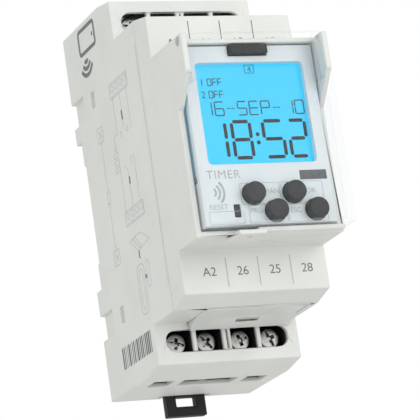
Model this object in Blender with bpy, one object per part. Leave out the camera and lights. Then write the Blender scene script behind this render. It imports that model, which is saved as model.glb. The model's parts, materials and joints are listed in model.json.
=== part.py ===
# DIN rail time switch, two modules wide, with a hinged clear cover, a backlit display,
# four push buttons, a reset pusher, a plug-in battery tray and eight rising-clamp terminals.
# The origin is the middle of the face that rests on the rail. -Y is the front of the
# device, +X its right-hand side seen from the front, +Z its top.

import bpy
import bmesh
import math
from mathutils import Matrix

MM = 0.001
GAP = 0.3 * MM                    # clearance between neighbouring pieces
OVERSHOOT = 1.0 * MM              # how far a cutter runs past the face it opens
CLOSE_GAP = 0.1 * MM              # clearance where a piece lies on its neighbour
HOLE_SIDES = 12                   # flats on the round shapes, from small to large
PIN_SIDES = 16
HEAD_SIDES = 20
DISC_SIDES = 24

# Outer housing
WIDTH = 35.6 * MM
HEIGHT = 90.0 * MM
REAR_Y = 3.2 * MM                 # how far the housing reaches behind the rail face
SPLIT_Y = -42.0 * MM              # joint between the rear and the front moulding
TERMINAL_FACE_Y = -29.2 * MM
LABEL_FACE_Y = -49.9 * MM
NOSE_FRONT_Y = -61.0 * MM
TERMINAL_SHELF = 10.7 * MM        # height of a terminal step, top or bottom
SHELF_CHAMFER = 1.3 * MM
SHELF_CHAMFER_START_Y = -21.0 * MM
LABEL_TAPER = 1.7 * MM            # how far the label block narrows towards the front
NOSE_HEIGHT = 45.2 * MM
SIDE_WALL = 2.0 * MM
NOSE_WALL = 1.4 * MM
STEP_WALL = 2.7 * MM
REAR_FLOOR = 2.4 * MM

# Rail
RAIL_HEIGHT = 35.0 * MM
RAIL_LIP = 1.0 * MM
RAIL_PLAY = 0.7 * MM              # room between the rail edge and the housing, each side
HOOK_BITE = 1.1 * MM              # how far a hook reaches behind the rail edge
HOOK_HALF_WIDTH = 6.0 * MM
RIB_HALF_WIDTH = 4.0 * MM         # middle rib that stays flush with the rail face
RELIEF_DEPTH = 0.9 * MM
RELIEF_HALF_HEIGHT = 12.1 * MM

# Recesses in the side faces
SIDE_POCKET_DEPTH = 1.2 * MM
SIDE_POCKET_FRONT_Y = -5.0 * MM
SIDE_POCKET_HEIGHT = 5.9 * MM
SIDE_POCKET_UPPER_Z = 22.4 * MM
SIDE_POCKET_LOWER_Z = -30.2 * MM
SIDE_SLOT_Y = (-12.4 * MM, -9.8 * MM)
SIDE_SLOT_HEIGHT = 4.0 * MM
SIDE_SLOT_UPPER_Z = 23.4 * MM
SIDE_SLOT_LOWER_Z = -29.2 * MM

# Terminals
CHAMBER_HALF_WIDTH = 3.2 * MM
DIVIDER = 1.05 * MM
MIDDLE_DIVIDER = 2.1 * MM
MIDDLE_SLIT = 0.4 * MM
DIVIDER_RECESS = 0.3 * MM
CHAMBER_REAR_Y = -6.5 * MM
CHAMBER_OUTER_WALL = 1.2 * MM
CHAMBER_INNER_OFFSET = 0.4 * MM
TERMINAL_PLATE = 1.3 * MM
SCREW_FROM_STEP = 4.0 * MM        # screw axis, measured outwards from the step face
SLOT_HEIGHT = 5.1 * MM
SLOT_END_FLAT = 0.01 * MM         # keeps the two end arcs of the slot from meeting in a point
ENTRY_LEDGE = 0.6 * MM            # how far a chamber's side stands out past its wire mouth
ENTRY_Y = (-16.8 * MM, -10.9 * MM)
MOUTH_RECESS = 1.5 * MM          # depth of the middle pair's shared mouth into their divider
HEAD_PLAY = 0.7 * MM              # between a screw head and the side of its chamber
HEAD_FRONT_Y = -26.2 * MM
HEAD_HEIGHT = 1.8 * MM
HEAD_RECESS = 0.9 * MM
HEAD_CROSS_LENGTH = 3.0 * MM
HEAD_CROSS_WIDTH = 0.7 * MM
SHANK_RADIUS = 1.5 * MM
SHANK_CLEARANCE = 0.2 * MM
CAGE_TRAVEL = 4.2 * MM
CAGE_PLAY = 0.25 * MM             # between a cage and the side of its chamber
CAGE_HALF_LENGTH = 3.1 * MM
CAGE_WALL = 0.8 * MM
CAGE_FRONT_WALL = 1.5 * MM
CAGE_FLOOR = 1.0 * MM
BAR_FRONT_Y = -17.8 * MM
BAR_THICKNESS = 1.0 * MM
BAR_PLAY = 0.45 * MM              # between a bus bar and the inside of its cage
BAR_LEG = 1.0 * MM

# Latch tongues of the front moulding
TONGUE_X = (-9.3 * MM, 15.8 * MM)
TONGUE_THICKNESS = 1.2 * MM
WEDGE_HEIGHT = 1.9 * MM
WEDGE_LENGTH = 5.3 * MM
WEDGE_SLOT_X = (1.2 * MM, 6.9 * MM)
WEDGE_SLOT_HEIGHT = 0.6 * MM

# Rail clip
CLIP_HALF_WIDTH = 5.0 * MM
CLIP_THICKNESS = 2.4 * MM
CLIP_FLANGE = 1.2 * MM
CLIP_FLANGE_THICKNESS = 1.0 * MM
CLIP_PROTRUSION = 4.9 * MM
CLIP_PULL_BAR = 2.3 * MM
CLIP_PULL_HALF_WIDTH = 2.5 * MM
CLIP_TRAVEL = 4.0 * MM
CHANNEL_FLOOR_Y = 0.2 * MM
SPRING_POST_HEIGHT = 1.2 * MM
SPRING_RADIUS = 1.0 * MM
SPRING_WIRE = 0.2 * MM
SPRING_TURNS = 6
SPRING_STEPS_PER_TURN = 10
SPRING_WIRE_SIDES = 5
SPRING_SLACK = 3.8 * MM           # left between the coils when the clip is pulled right out
SPRING_POST_TOP = 8.6 * MM        # spring seat, measured up from the housing's lower face

# Nose, cover and hinge
EAR_WALL = 1.4 * MM
EAR_FRONT_Y = -68.2 * MM
EAR_SLANT_Z = (6.4 * MM, 13.7 * MM)
PIVOT_Y = -66.0 * MM
PIVOT_Z = 21.0 * MM
PIN_RADIUS = 1.0 * MM
PIN_CLEARANCE = 0.2 * MM
PIN_END_RECESS = 0.3 * MM
COVER_FRONT_Y = -68.8 * MM
COVER_PLATE = 1.2 * MM
COVER_WALL = 1.3 * MM
COVER_SIDE_INSET = 0.2 * MM
COVER_RIM_GAP = 0.35 * MM
COVER_TOP_Z = 22.3 * MM
COVER_ARM = 1.2 * MM
COVER_EDGE_CHAMFER = 0.7 * MM
ARM_PANEL_GAP = 0.4 * MM
ARM_SWING_GAP = 0.45 * MM
COVER_BOTTOM_INSET = 0.4 * MM
TOP_LIP_Y = -63.9 * MM
BOTTOM_LIP_Y = -63.1 * MM
SEAL_TAB_X = (-10.2 * MM, -3.6 * MM)
SEAL_TAB_FRONT_Y = -67.4 * MM
SEAL_TAB_THICKNESS = 1.1 * MM
SEAL_TAB_GAP = 0.6 * MM
SEAL_HOLE_X = -6.9 * MM
SEAL_HOLE_Y = -64.9 * MM
SEAL_HOLE_RADIUS = 0.65 * MM

# Front panel and display
PANEL_FRONT_Y = -62.8 * MM
PANEL_THICKNESS = 1.5 * MM
PANEL_SIDE_GAP = 0.5 * MM
PANEL_END_GAP = 0.6 * MM
WINDOW_WIDTH = 26.3 * MM
WINDOW_Z = (-6.6 * MM, 17.0 * MM)
WINDOW_RADIUS = 1.0 * MM
GLASS_THICKNESS = 1.6 * MM
GLASS_MARGIN = 1.65 * MM
GLASS_TOP_MARGIN = 1.2 * MM
GLASS_LEDGE = 3.3 * MM            # part of the glass below the window, on the contact strip
BACKLIGHT_THICKNESS = 2.5 * MM
BACKLIGHT_MARGIN = 0.6 * MM
FRAME_WALL = 1.0 * MM
ZEBRA_HEIGHT = 1.5 * MM
ZEBRA_END_MARGIN = 1.3 * MM
BOARD_THICKNESS = 1.6 * MM
DISPLAY_BOARD_FRONT_Y = -54.0 * MM
SKIRT_WALL = 1.0 * MM
SKIRT_TOP_Z = -10.3 * MM

# Buttons
BUTTON_CENTRES = ((-3.7 * MM, -13.6 * MM), (6.1 * MM, -13.6 * MM),
                  (1.2 * MM, -17.7 * MM), (11.0 * MM, -17.7 * MM))
BUTTON_NAMES = ("button_manual", "button_ok", "button_program", "button_escape")
BUTTON_RADIUS = 2.4 * MM
BUTTON_PROUD = 2.5 * MM
BUTTON_HOLE_PLAY = 0.2 * MM
BUTTON_FLANGE = 0.5 * MM
BUTTON_FLANGE_THICKNESS = 0.6 * MM
BUTTON_STEM_RADIUS = 1.2 * MM
BUTTON_STEM_SIDES = 10
BUTTON_TRAVEL = 0.5 * MM
PRESS_MARGIN = 0.05 * MM          # left between a pressed stem and its switch plunger
SWITCH_HALF_SIZE = 2.1 * MM
SWITCH_HEIGHT = 3.0 * MM
PLUNGER_RADIUS = 1.4 * MM
PLUNGER_HEIGHT = 0.8 * MM
RESET_CENTRE = (-7.9 * MM, -17.3 * MM)
RESET_SIZE = (1.2 * MM, 2.6 * MM)
RESET_SINK = 0.2 * MM             # how far the reset pusher sits below the panel face
RESET_SWITCH_HALF_SIZE = 1.7 * MM

# Battery tray
TRAY_HALF_WIDTH = 4.5 * MM
TRAY_Z = (18.75 * MM, 20.75 * MM)
TRAY_PROUD = 1.4 * MM
TRAY_LENGTH = 13.0 * MM
TRAY_FLOOR = 0.4 * MM
TRAY_SLOT_PLAY = 0.25 * MM
CELL_RADIUS = 3.95 * MM
CELL_THICKNESS = 1.4 * MM
CELL_PLAY = 0.1 * MM
CELL_FROM_FRONT = 7.2 * MM

# Power electronics
POWER_BOARD_FRONT_Y = -13.6 * MM
BOARD_PLAY = 0.4 * MM
RELAY_SIZE = (12.6 * MM, 15.6 * MM, 28.4 * MM)
RELAY_SPACING = 2.6 * MM
RELAY_END_GAP = 2.2 * MM          # from the board's lower end, leaving room for the bus bars
CAPACITOR_RADIUS = 5.0 * MM
CAPACITOR_LENGTH = 16.0 * MM
TRANSFORMER_SIZE = (13.0 * MM, 12.0 * MM, 13.5 * MM)
FILM_SIZE = (13.0 * MM, 11.0 * MM, 6.0 * MM)
VARISTOR_RADIUS = 4.6 * MM
VARISTOR_THICKNESS = 3.8 * MM
VARISTOR_STANDOFF = 1.6 * MM
PART_SPACING = 1.2 * MM
LINK_BOARD_THICKNESS = 1.2 * MM
LINK_BOARD_Z = (2.0 * MM, 14.0 * MM)

# Sizes that follow from the ones above
half_width = WIDTH / 2
half_height = HEIGHT / 2
nose_z = NOSE_HEIGHT / 2
step_z = half_height - TERMINAL_SHELF
label_z = step_z - LABEL_TAPER
rail_z = RAIL_HEIGHT / 2 + RAIL_PLAY
cavity_z = step_z - STEP_WALL
cavity_x = half_width - SIDE_WALL
nose_inner_x = half_width - NOSE_WALL
nose_inner_z = nose_z - NOSE_WALL
screw_z = step_z + SCREW_FROM_STEP
plate_rear_y = TERMINAL_FACE_Y + TERMINAL_PLATE
panel_rear_y = PANEL_FRONT_Y + PANEL_THICKNESS
glass_front_y = panel_rear_y + GAP
glass_rear_y = glass_front_y + GLASS_THICKNESS
stack_y = glass_rear_y + GAP                     # front of what sits behind the glass
board_gap_y = DISPLAY_BOARD_FRONT_Y - GAP        # front pieces stop short of the board
inner_terminal_x = MIDDLE_DIVIDER / 2 + CHAMBER_HALF_WIDTH
outer_terminal_x = inner_terminal_x + 2 * CHAMBER_HALF_WIDTH + DIVIDER
terminal_xs = (-outer_terminal_x, -inner_terminal_x, inner_terminal_x, outer_terminal_x)
entry_half_width = CHAMBER_HALF_WIDTH - ENTRY_LEDGE
head_radius = CHAMBER_HALF_WIDTH - HEAD_PLAY
cage_half_width = CHAMBER_HALF_WIDTH - CAGE_PLAY
cage_inner_half_width = cage_half_width - CAGE_WALL
bar_half_width = cage_inner_half_width - BAR_PLAY
wire_space = CAGE_TRAVEL + GAP
button_rest_gap = BUTTON_TRAVEL + PRESS_MARGIN   # between a stem and its switch plunger
clip_y = (CHANNEL_FLOOR_Y + GAP, CHANNEL_FLOOR_Y + GAP + CLIP_THICKNESS)
clip_top_z = -RAIL_HEIGHT / 2 + HOOK_BITE
spring_length = CLIP_TRAVEL + 2 * SPRING_WIRE * SPRING_TURNS + SPRING_SLACK
spring_y = sum(clip_y) / 2
spring_post_z = (-half_height + SPRING_POST_TOP - SPRING_POST_HEIGHT, -half_height + SPRING_POST_TOP)
spring_z = (spring_post_z[1] + GAP, spring_post_z[1] + GAP + spring_length)


def make_material(name, colour, roughness, metallic=0.0, alpha=1.0):
    material = bpy.data.materials.new(name)
    material.use_nodes = True
    shader = material.node_tree.nodes["Principled BSDF"]
    shader.inputs["Base Color"].default_value = (*colour, 1.0)
    shader.inputs["Roughness"].default_value = roughness
    shader.inputs["Metallic"].default_value = metallic
    shader.inputs["Alpha"].default_value = alpha
    material.diffuse_color = (*colour, alpha)
    return material


def box(x, y, z):
    # A box from three (low, high) pairs.
    outline = [(y[0], z[0]), (y[1], z[0]), (y[1], z[1]), (y[0], z[1])]
    return ("X", outline, x[0], x[1])


def centred(middle, half):
    return (middle - half, middle + half)


def circle(centre, radius, sides):
    points = []
    for i in range(sides):
        angle = 2 * math.pi * (i + 0.5) / sides
        points.append((centre[0] + radius * math.cos(angle), centre[1] + radius * math.sin(angle)))
    return points


def rounded_rectangle(a, b, radius, steps=4):
    # Corner arcs, counter-clockwise from the corner at the high end of both axes.
    corners = (((a[1] - radius, b[1] - radius), 0), ((a[0] + radius, b[1] - radius), 1),
               ((a[0] + radius, b[0] + radius), 2), ((a[1] - radius, b[0] + radius), 3))
    points = []
    for centre, quarter in corners:
        for i in range(steps + 1):
            angle = (quarter + i / steps) * math.pi / 2
            points.append((centre[0] + radius * math.cos(angle), centre[1] + radius * math.sin(angle)))
    return points


def place(axis, point, along):
    # Outlines are (y, z) for X, (x, z) for Y and (x, y) for Z.
    if axis == "X":
        return (along, point[0], point[1])
    if axis == "Y":
        return (point[0], along, point[1])
    return (point[0], point[1], along)


def make_mesh(name, shapes):
    # Each shape is an outline pushed along an axis: (axis, outline, start, end).
    bm = bmesh.new()
    for axis, outline, start, end in shapes:
        near = [bm.verts.new(place(axis, point, start)) for point in outline]
        far = [bm.verts.new(place(axis, point, end)) for point in outline]
        bm.faces.new(near)
        bm.faces.new(far)
        for i in range(len(outline)):
            j = (i + 1) % len(outline)
            bm.faces.new((near[i], near[j], far[j], far[i]))
    bmesh.ops.recalc_face_normals(bm, faces=bm.faces)
    mesh = bpy.data.meshes.new(name)
    bm.to_mesh(mesh)
    bm.free()
    return mesh


def make_solid(name, material, shapes, joint_at=None):
    # A moving solid hangs on an empty that stands on its joint's axis.
    mesh = make_mesh(name, shapes)
    mesh.materials.append(material)
    solid = bpy.data.objects.new(name, mesh)
    bpy.context.collection.objects.link(solid)
    if joint_at is not None:
        axis = bpy.data.objects.new(f"{name}_axis", None)
        axis.location = joint_at
        bpy.context.collection.objects.link(axis)
        solid.parent = axis
        solid.matrix_parent_inverse = Matrix.Translation(joint_at).inverted()
    return solid


def add_tool(solid, operation, shapes):
    # Cuts with, or joins on, a hidden tool made of shapes that don't touch each other.
    tool_name = f"{solid.name}_{operation.lower()}_{len(solid.modifiers)}"
    tool = bpy.data.objects.new(tool_name, make_mesh(tool_name, shapes))
    tool.hide_render = True
    tool.display_type = "WIRE"
    bpy.context.collection.objects.link(tool)
    modifier = solid.modifiers.new(operation.title(), "BOOLEAN")
    modifier.operation = operation
    modifier.solver = "EXACT"
    modifier.object = tool


def cut(solid, shapes):
    add_tool(solid, "DIFFERENCE", shapes)


def join(solid, shapes):
    add_tool(solid, "UNION", shapes)


def shade_round(solid, degrees=35):
    solid.data.shade_smooth()
    solid.data.set_sharp_from_angle(angle=math.radians(degrees))


def flip(outline, side):
    # The upper outline as drawn, or its mirror image for the lower end.
    return [(point[0], point[1] * side) for point in outline]


def span(low, high, side):
    return (low, high) if side > 0 else (-high, -low)


def rear_housing_outline():
    upper = [(0, rail_z), (REAR_Y, rail_z), (REAR_Y, half_height),
             (SHELF_CHAMFER_START_Y, half_height),
             (TERMINAL_FACE_Y, half_height - SHELF_CHAMFER),
             (TERMINAL_FACE_Y, step_z), (SPLIT_Y + GAP / 2, step_z)]
    lower = [(y, -z) for y, z in reversed(upper)]
    return upper + lower


def make_rear_housing(material):
    housing = make_solid("rear_housing", material,
                         [("X", rear_housing_outline(), -half_width, half_width)])
    cut(housing, [box((-cavity_x, cavity_x), (SPLIT_Y - OVERSHOOT, -REAR_FLOOR),
                      (-cavity_z, cavity_z))])
    cut_rail_relief(housing)
    cut_side_recesses(housing)
    for side in (1, -1):
        cut_terminal_shelf(housing, side)
    cut_clip_channel(housing)
    hook_z = (RAIL_HEIGHT / 2 - HOOK_BITE, rail_z + OVERSHOOT)
    join(housing, [box((-HOOK_HALF_WIDTH, HOOK_HALF_WIDTH), (RAIL_LIP + GAP, REAR_Y), hook_z)])
    return housing


def cut_rail_relief(housing):
    pockets = []
    for x in ((-half_width - OVERSHOOT, -RIB_HALF_WIDTH), (RIB_HALF_WIDTH, half_width + OVERSHOOT)):
        pockets.append(box(x, (-RELIEF_DEPTH, OVERSHOOT), (-RELIEF_HALF_HEIGHT, RELIEF_HALF_HEIGHT)))
    cut(housing, pockets)


def cut_side_recesses(housing):
    pockets = []
    for side in (1, -1):
        x = sorted((side * (half_width - SIDE_POCKET_DEPTH), side * (half_width + OVERSHOOT)))
        for z in (SIDE_POCKET_UPPER_Z, SIDE_POCKET_LOWER_Z):
            pockets.append(box(x, (SIDE_POCKET_FRONT_Y, REAR_Y + OVERSHOOT),
                               (z, z + SIDE_POCKET_HEIGHT)))
        for z in (SIDE_SLOT_UPPER_Z, SIDE_SLOT_LOWER_Z):
            pockets.append(box(x, SIDE_SLOT_Y, (z, z + SIDE_SLOT_HEIGHT)))
    cut(housing, pockets)


def cut_terminal_shelf(housing, side):
    chamber_z = (step_z + CHAMBER_INNER_OFFSET, half_height - CHAMBER_OUTER_WALL)
    chambers = []
    bar_slots = []
    bar_y = (BAR_FRONT_Y - GAP, BAR_FRONT_Y + BAR_THICKNESS + GAP)
    for x in terminal_xs:
        chambers.append(box(centred(x, CHAMBER_HALF_WIDTH), (plate_rear_y, CHAMBER_REAR_Y),
                            span(*chamber_z, side)))
        bar_slots.append(box(centred(x, bar_half_width + GAP), bar_y,
                             span(cavity_z - GAP, chamber_z[0] + GAP, side)))
    cut(housing, chambers)
    cut(housing, wire_mouths(chamber_z[1], side))
    cut(housing, bar_slots)
    slot_end = outer_terminal_x + CHAMBER_HALF_WIDTH + GAP
    slot_outline = rounded_rectangle((-slot_end, slot_end),
                                     centred(screw_z * side, SLOT_HEIGHT / 2),
                                     SLOT_HEIGHT / 2 - SLOT_END_FLAT, steps=5)
    cut(housing, [("Y", slot_outline, TERMINAL_FACE_Y - OVERSHOOT, plate_rear_y + GAP)])
    tongue_pocket_z = span(step_z - TONGUE_THICKNESS - GAP, step_z + OVERSHOOT, side)
    cut(housing, [box((TONGUE_X[0] - GAP, TONGUE_X[1] + GAP),
                      (SPLIT_Y - OVERSHOOT, TERMINAL_FACE_Y), tongue_pocket_z)])
    join_dividers(housing, side, chamber_z)


def wire_mouths(chamber_end, side):
    # One mouth for each outer terminal and a wide one that the two inner ones share.
    outer_z = span(chamber_end - GAP, half_height + OVERSHOOT, side)
    shared_z = span(chamber_end - MOUTH_RECESS, half_height + OVERSHOOT, side)
    return [box(centred(-outer_terminal_x, entry_half_width), ENTRY_Y, outer_z),
            box(centred(0, inner_terminal_x + entry_half_width), ENTRY_Y, shared_z),
            box(centred(outer_terminal_x, entry_half_width), ENTRY_Y, outer_z)]


def join_dividers(housing, side, chamber_z):
    # The dividers run up through the screwdriver slot, almost to the terminal face.
    y = (TERMINAL_FACE_Y + DIVIDER_RECESS, plate_rear_y + OVERSHOOT)
    z = span(chamber_z[0] + GAP, chamber_z[1] - GAP, side)
    divider_x = inner_terminal_x + CHAMBER_HALF_WIDTH + DIVIDER / 2
    join(housing, [box(centred(-divider_x, DIVIDER / 2), y, z),
                   box(centred(0, MIDDLE_DIVIDER / 2), y, z),
                   box(centred(divider_x, DIVIDER / 2), y, z)])
    slit_y = (TERMINAL_FACE_Y - OVERSHOOT, CHAMBER_REAR_Y - OVERSHOOT)
    slit_z = span(screw_z - SLOT_HEIGHT / 2 + GAP, screw_z + SLOT_HEIGHT / 2 - GAP, side)
    cut(housing, [box(centred(0, MIDDLE_SLIT / 2), slit_y, slit_z)])


def cut_clip_channel(housing):
    channel_x = CLIP_HALF_WIDTH + GAP
    flange_x = CLIP_HALF_WIDTH + CLIP_FLANGE + GAP
    flange_rear_y = CHANNEL_FLOOR_Y + GAP + CLIP_FLANGE_THICKNESS + GAP
    below = -half_height - OVERSHOOT
    cut(housing, [box((-channel_x, channel_x), (CHANNEL_FLOOR_Y, REAR_Y + OVERSHOOT),
                      (below, -rail_z + OVERSHOOT))])
    cut(housing, [box((-flange_x, flange_x), (CHANNEL_FLOOR_Y, flange_rear_y),
                      (below, -rail_z + OVERSHOOT))])
    join(housing, [box((-SPRING_RADIUS, SPRING_RADIUS),
                       (CHANNEL_FLOOR_Y - OVERSHOOT, spring_y + SPRING_RADIUS), spring_post_z)])


def make_rail_clip(material):
    bottom = -half_height - CLIP_PROTRUSION
    body_top = -rail_z - GAP
    clip = make_solid("rail_clip", material,
                      [box((-CLIP_HALF_WIDTH, CLIP_HALF_WIDTH), clip_y, (bottom, body_top))])
    join(clip, [box((-CLIP_HALF_WIDTH, CLIP_HALF_WIDTH), (RAIL_LIP + GAP, clip_y[1]),
                    (body_top - OVERSHOOT, clip_top_z))])
    flange_x = CLIP_HALF_WIDTH + CLIP_FLANGE
    join(clip, [box((-flange_x, flange_x), (clip_y[0], clip_y[0] + CLIP_FLANGE_THICKNESS),
                    (-half_height + 2 * GAP, body_top - OVERSHOOT))])
    window_x = SPRING_RADIUS + SPRING_WIRE + GAP
    through_y = (clip_y[0] - OVERSHOOT, clip_y[1] + OVERSHOOT)
    cut(clip, [box((-window_x, window_x), through_y, (spring_post_z[0] - GAP, spring_z[1] + GAP)),
               box((-CLIP_PULL_HALF_WIDTH, CLIP_PULL_HALF_WIDTH), through_y,
                   (bottom + CLIP_PULL_BAR, -half_height - GAP))])
    return clip


def make_clip_spring(material):
    # A round wire wound along Z, with a ring of points round each station of the helix.
    stations = SPRING_TURNS * SPRING_STEPS_PER_TURN
    sides = SPRING_WIRE_SIDES
    bm = bmesh.new()
    rings = []
    low = spring_z[0] + SPRING_WIRE
    rise = spring_z[1] - spring_z[0] - 2 * SPRING_WIRE
    for i in range(stations + 1):
        angle = 2 * math.pi * SPRING_TURNS * i / stations
        ring = []
        for k in range(sides):
            turn = 2 * math.pi * k / sides
            reach = SPRING_RADIUS + SPRING_WIRE * math.cos(turn)
            ring.append(bm.verts.new((reach * math.cos(angle), spring_y + reach * math.sin(angle),
                                      low + rise * i / stations + SPRING_WIRE * math.sin(turn))))
        rings.append(ring)
    for near, far in zip(rings, rings[1:]):
        for k in range(sides):
            j = (k + 1) % sides
            bm.faces.new((near[k], near[j], far[j], far[k]))
    bm.faces.new(rings[0])
    bm.faces.new(rings[-1])
    bmesh.ops.recalc_face_normals(bm, faces=bm.faces)
    mesh = bpy.data.meshes.new("clip_spring")
    bm.to_mesh(mesh)
    bm.free()
    mesh.materials.append(material)
    spring = bpy.data.objects.new("clip_spring", mesh)
    bpy.context.collection.objects.link(spring)
    shade_round(spring, 60)
    return spring


def make_terminal(end, number, x, side, metals):
    # One terminal: its clamp screw, the cage that rises on it and the fixed bus bar.
    name = f"{end}_{number}"
    z = screw_z * side
    head_rear_y = HEAD_FRONT_Y + HEAD_HEIGHT
    screw = make_solid(f"terminal_screw_{name}", metals["screw"],
                       [("Y", circle((x, z), head_radius, HEAD_SIDES), HEAD_FRONT_Y, head_rear_y)],
                       joint_at=(x, HEAD_FRONT_Y, z))
    join(screw, [("Y", circle((x, z), SHANK_RADIUS, HOLE_SIDES), head_rear_y - HEAD_HEIGHT / 4,
                  BAR_FRONT_Y - GAP)])
    arm = HEAD_CROSS_LENGTH / 2
    half = HEAD_CROSS_WIDTH / 2
    cross = [(arm, half), (half, half), (half, arm), (-half, arm), (-half, half), (-arm, half),
             (-arm, -half), (-half, -half), (-half, -arm), (half, -arm), (half, -half), (arm, -half)]
    cut(screw, [("Y", [(x + u, z + v) for u, v in cross],
                 HEAD_FRONT_Y - OVERSHOOT, HEAD_FRONT_Y + HEAD_RECESS)])
    make_cage(f"clamp_cage_{name}", x, z, metals["cage"])
    make_bus_bar(f"bus_bar_{name}", x, side, metals["bar"])


def make_cage(name, x, z, material):
    front_inner_y = BAR_FRONT_Y - GAP
    floor_y = BAR_FRONT_Y + BAR_THICKNESS + wire_space
    front_y = front_inner_y - CAGE_FRONT_WALL
    cage = make_solid(name, material,
                      [box(centred(x, cage_half_width), (front_y, floor_y + CAGE_FLOOR),
                           centred(z, CAGE_HALF_LENGTH))], joint_at=(x, front_y, z))
    reach = CAGE_HALF_LENGTH + OVERSHOOT
    cut(cage, [box(centred(x, cage_inner_half_width), (front_inner_y, floor_y), centred(z, reach))])
    cut(cage, [("Y", circle((x, z), SHANK_RADIUS + SHANK_CLEARANCE, HOLE_SIDES),
                front_y - OVERSHOOT, front_inner_y + GAP)])


def make_bus_bar(name, x, side, material):
    board_z = cavity_z - BOARD_PLAY
    leg_z = (board_z - GAP - BAR_LEG, board_z - GAP)
    outer_z = screw_z + CAGE_HALF_LENGTH + GAP
    rear_y = BAR_FRONT_Y + BAR_THICKNESS
    outline = [(BAR_FRONT_Y, outer_z), (BAR_FRONT_Y, leg_z[0]), (POWER_BOARD_FRONT_Y - GAP, leg_z[0]),
               (POWER_BOARD_FRONT_Y - GAP, leg_z[1]), (rear_y, leg_z[1]), (rear_y, outer_z)]
    make_solid(name, material, [("X", flip(outline, side), x - bar_half_width, x + bar_half_width)])


def make_front_housing(material):
    front_y = SPLIT_Y - GAP / 2
    upper = [(front_y, step_z), (LABEL_FACE_Y, label_z), (LABEL_FACE_Y, nose_z), (NOSE_FRONT_Y, nose_z)]
    lower = [(y, -z) for y, z in reversed(upper)]
    housing = make_solid("front_housing", material, [("X", upper + lower, -half_width, half_width)])
    cut(housing, [box((-nose_inner_x, nose_inner_x), (LABEL_FACE_Y + NOSE_WALL, SPLIT_Y + OVERSHOOT),
                      (-label_z + NOSE_WALL, label_z - NOSE_WALL))])
    cut(housing, [box((-nose_inner_x, nose_inner_x),
                      (NOSE_FRONT_Y - OVERSHOOT, LABEL_FACE_Y + NOSE_WALL + GAP),
                      (-nose_inner_z, nose_inner_z))])
    join_ears(housing)
    join_lips(housing)
    for side in (1, -1):
        join_tongue(housing, side)
    return housing


def join_ears(housing):
    root_y = NOSE_FRONT_Y + OVERSHOOT
    ear_top = nose_z - GAP
    outline = [(root_y, EAR_SLANT_Z[0]), (NOSE_FRONT_Y, EAR_SLANT_Z[0]),
               (EAR_FRONT_Y, EAR_SLANT_Z[1]), (EAR_FRONT_Y, ear_top), (root_y, ear_top)]
    join(housing, [("X", outline, half_width - EAR_WALL, half_width),
                   ("X", outline, -half_width, -half_width + EAR_WALL)])
    hole = circle((PIVOT_Y, PIVOT_Z), PIN_RADIUS + PIN_CLEARANCE, PIN_SIDES)
    cut(housing, [("X", hole, -half_width - OVERSHOOT, -half_width + EAR_WALL + OVERSHOOT),
                  ("X", hole, half_width - EAR_WALL - OVERSHOOT, half_width + OVERSHOOT)])


def join_lips(housing):
    # The upper lip closes the nose under the cover's hinge edge; the lower one runs
    # from the seal tab to the right-hand side.
    inside = nose_inner_x + NOSE_WALL / 2
    root_y = NOSE_FRONT_Y + OVERSHOOT
    join(housing, [box((-inside, inside), (TOP_LIP_Y, root_y), (nose_inner_z, nose_z - GAP))])
    join(housing, [box((SEAL_TAB_X[1], half_width - COVER_SIDE_INSET), (BOTTOM_LIP_Y, root_y),
                       (-nose_z + GAP, -nose_inner_z))])
    tab_top = -nose_z + COVER_BOTTOM_INSET - SEAL_TAB_GAP
    tab_z = (tab_top - SEAL_TAB_THICKNESS, tab_top)
    tab = [(SEAL_TAB_FRONT_Y, tab_z[1]), (SEAL_TAB_FRONT_Y, tab_z[0]),
           (NOSE_FRONT_Y, tab_z[0]), (NOSE_FRONT_Y + 2 * SEAL_TAB_THICKNESS, -nose_z + GAP),
           (NOSE_FRONT_Y + GAP, -nose_z + GAP), (NOSE_FRONT_Y + GAP, tab_z[1])]
    join(housing, [("X", tab, *SEAL_TAB_X)])
    cut(housing, [("Z", circle((SEAL_HOLE_X, SEAL_HOLE_Y), SEAL_HOLE_RADIUS, HOLE_SIDES),
                   tab_z[0] - OVERSHOOT, tab_z[1] + GAP)])


def join_tongue(housing, side):
    outer = TERMINAL_FACE_Y - GAP
    root_y = SPLIT_Y - OVERSHOOT
    inner_z = step_z - TONGUE_THICKNESS
    outline = [(root_y, inner_z), (outer, inner_z), (outer, step_z + WEDGE_HEIGHT),
               (outer - WEDGE_LENGTH, step_z), (root_y, step_z - CLOSE_GAP)]
    join(housing, [("X", flip(outline, side), *TONGUE_X)])
    middle_z = step_z + WEDGE_HEIGHT / 3
    cut(housing, [box(WEDGE_SLOT_X, (outer - WEDGE_LENGTH - OVERSHOOT, outer - OVERSHOOT),
                      span(middle_z - WEDGE_SLOT_HEIGHT / 2, middle_z + WEDGE_SLOT_HEIGHT / 2, side))])


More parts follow.
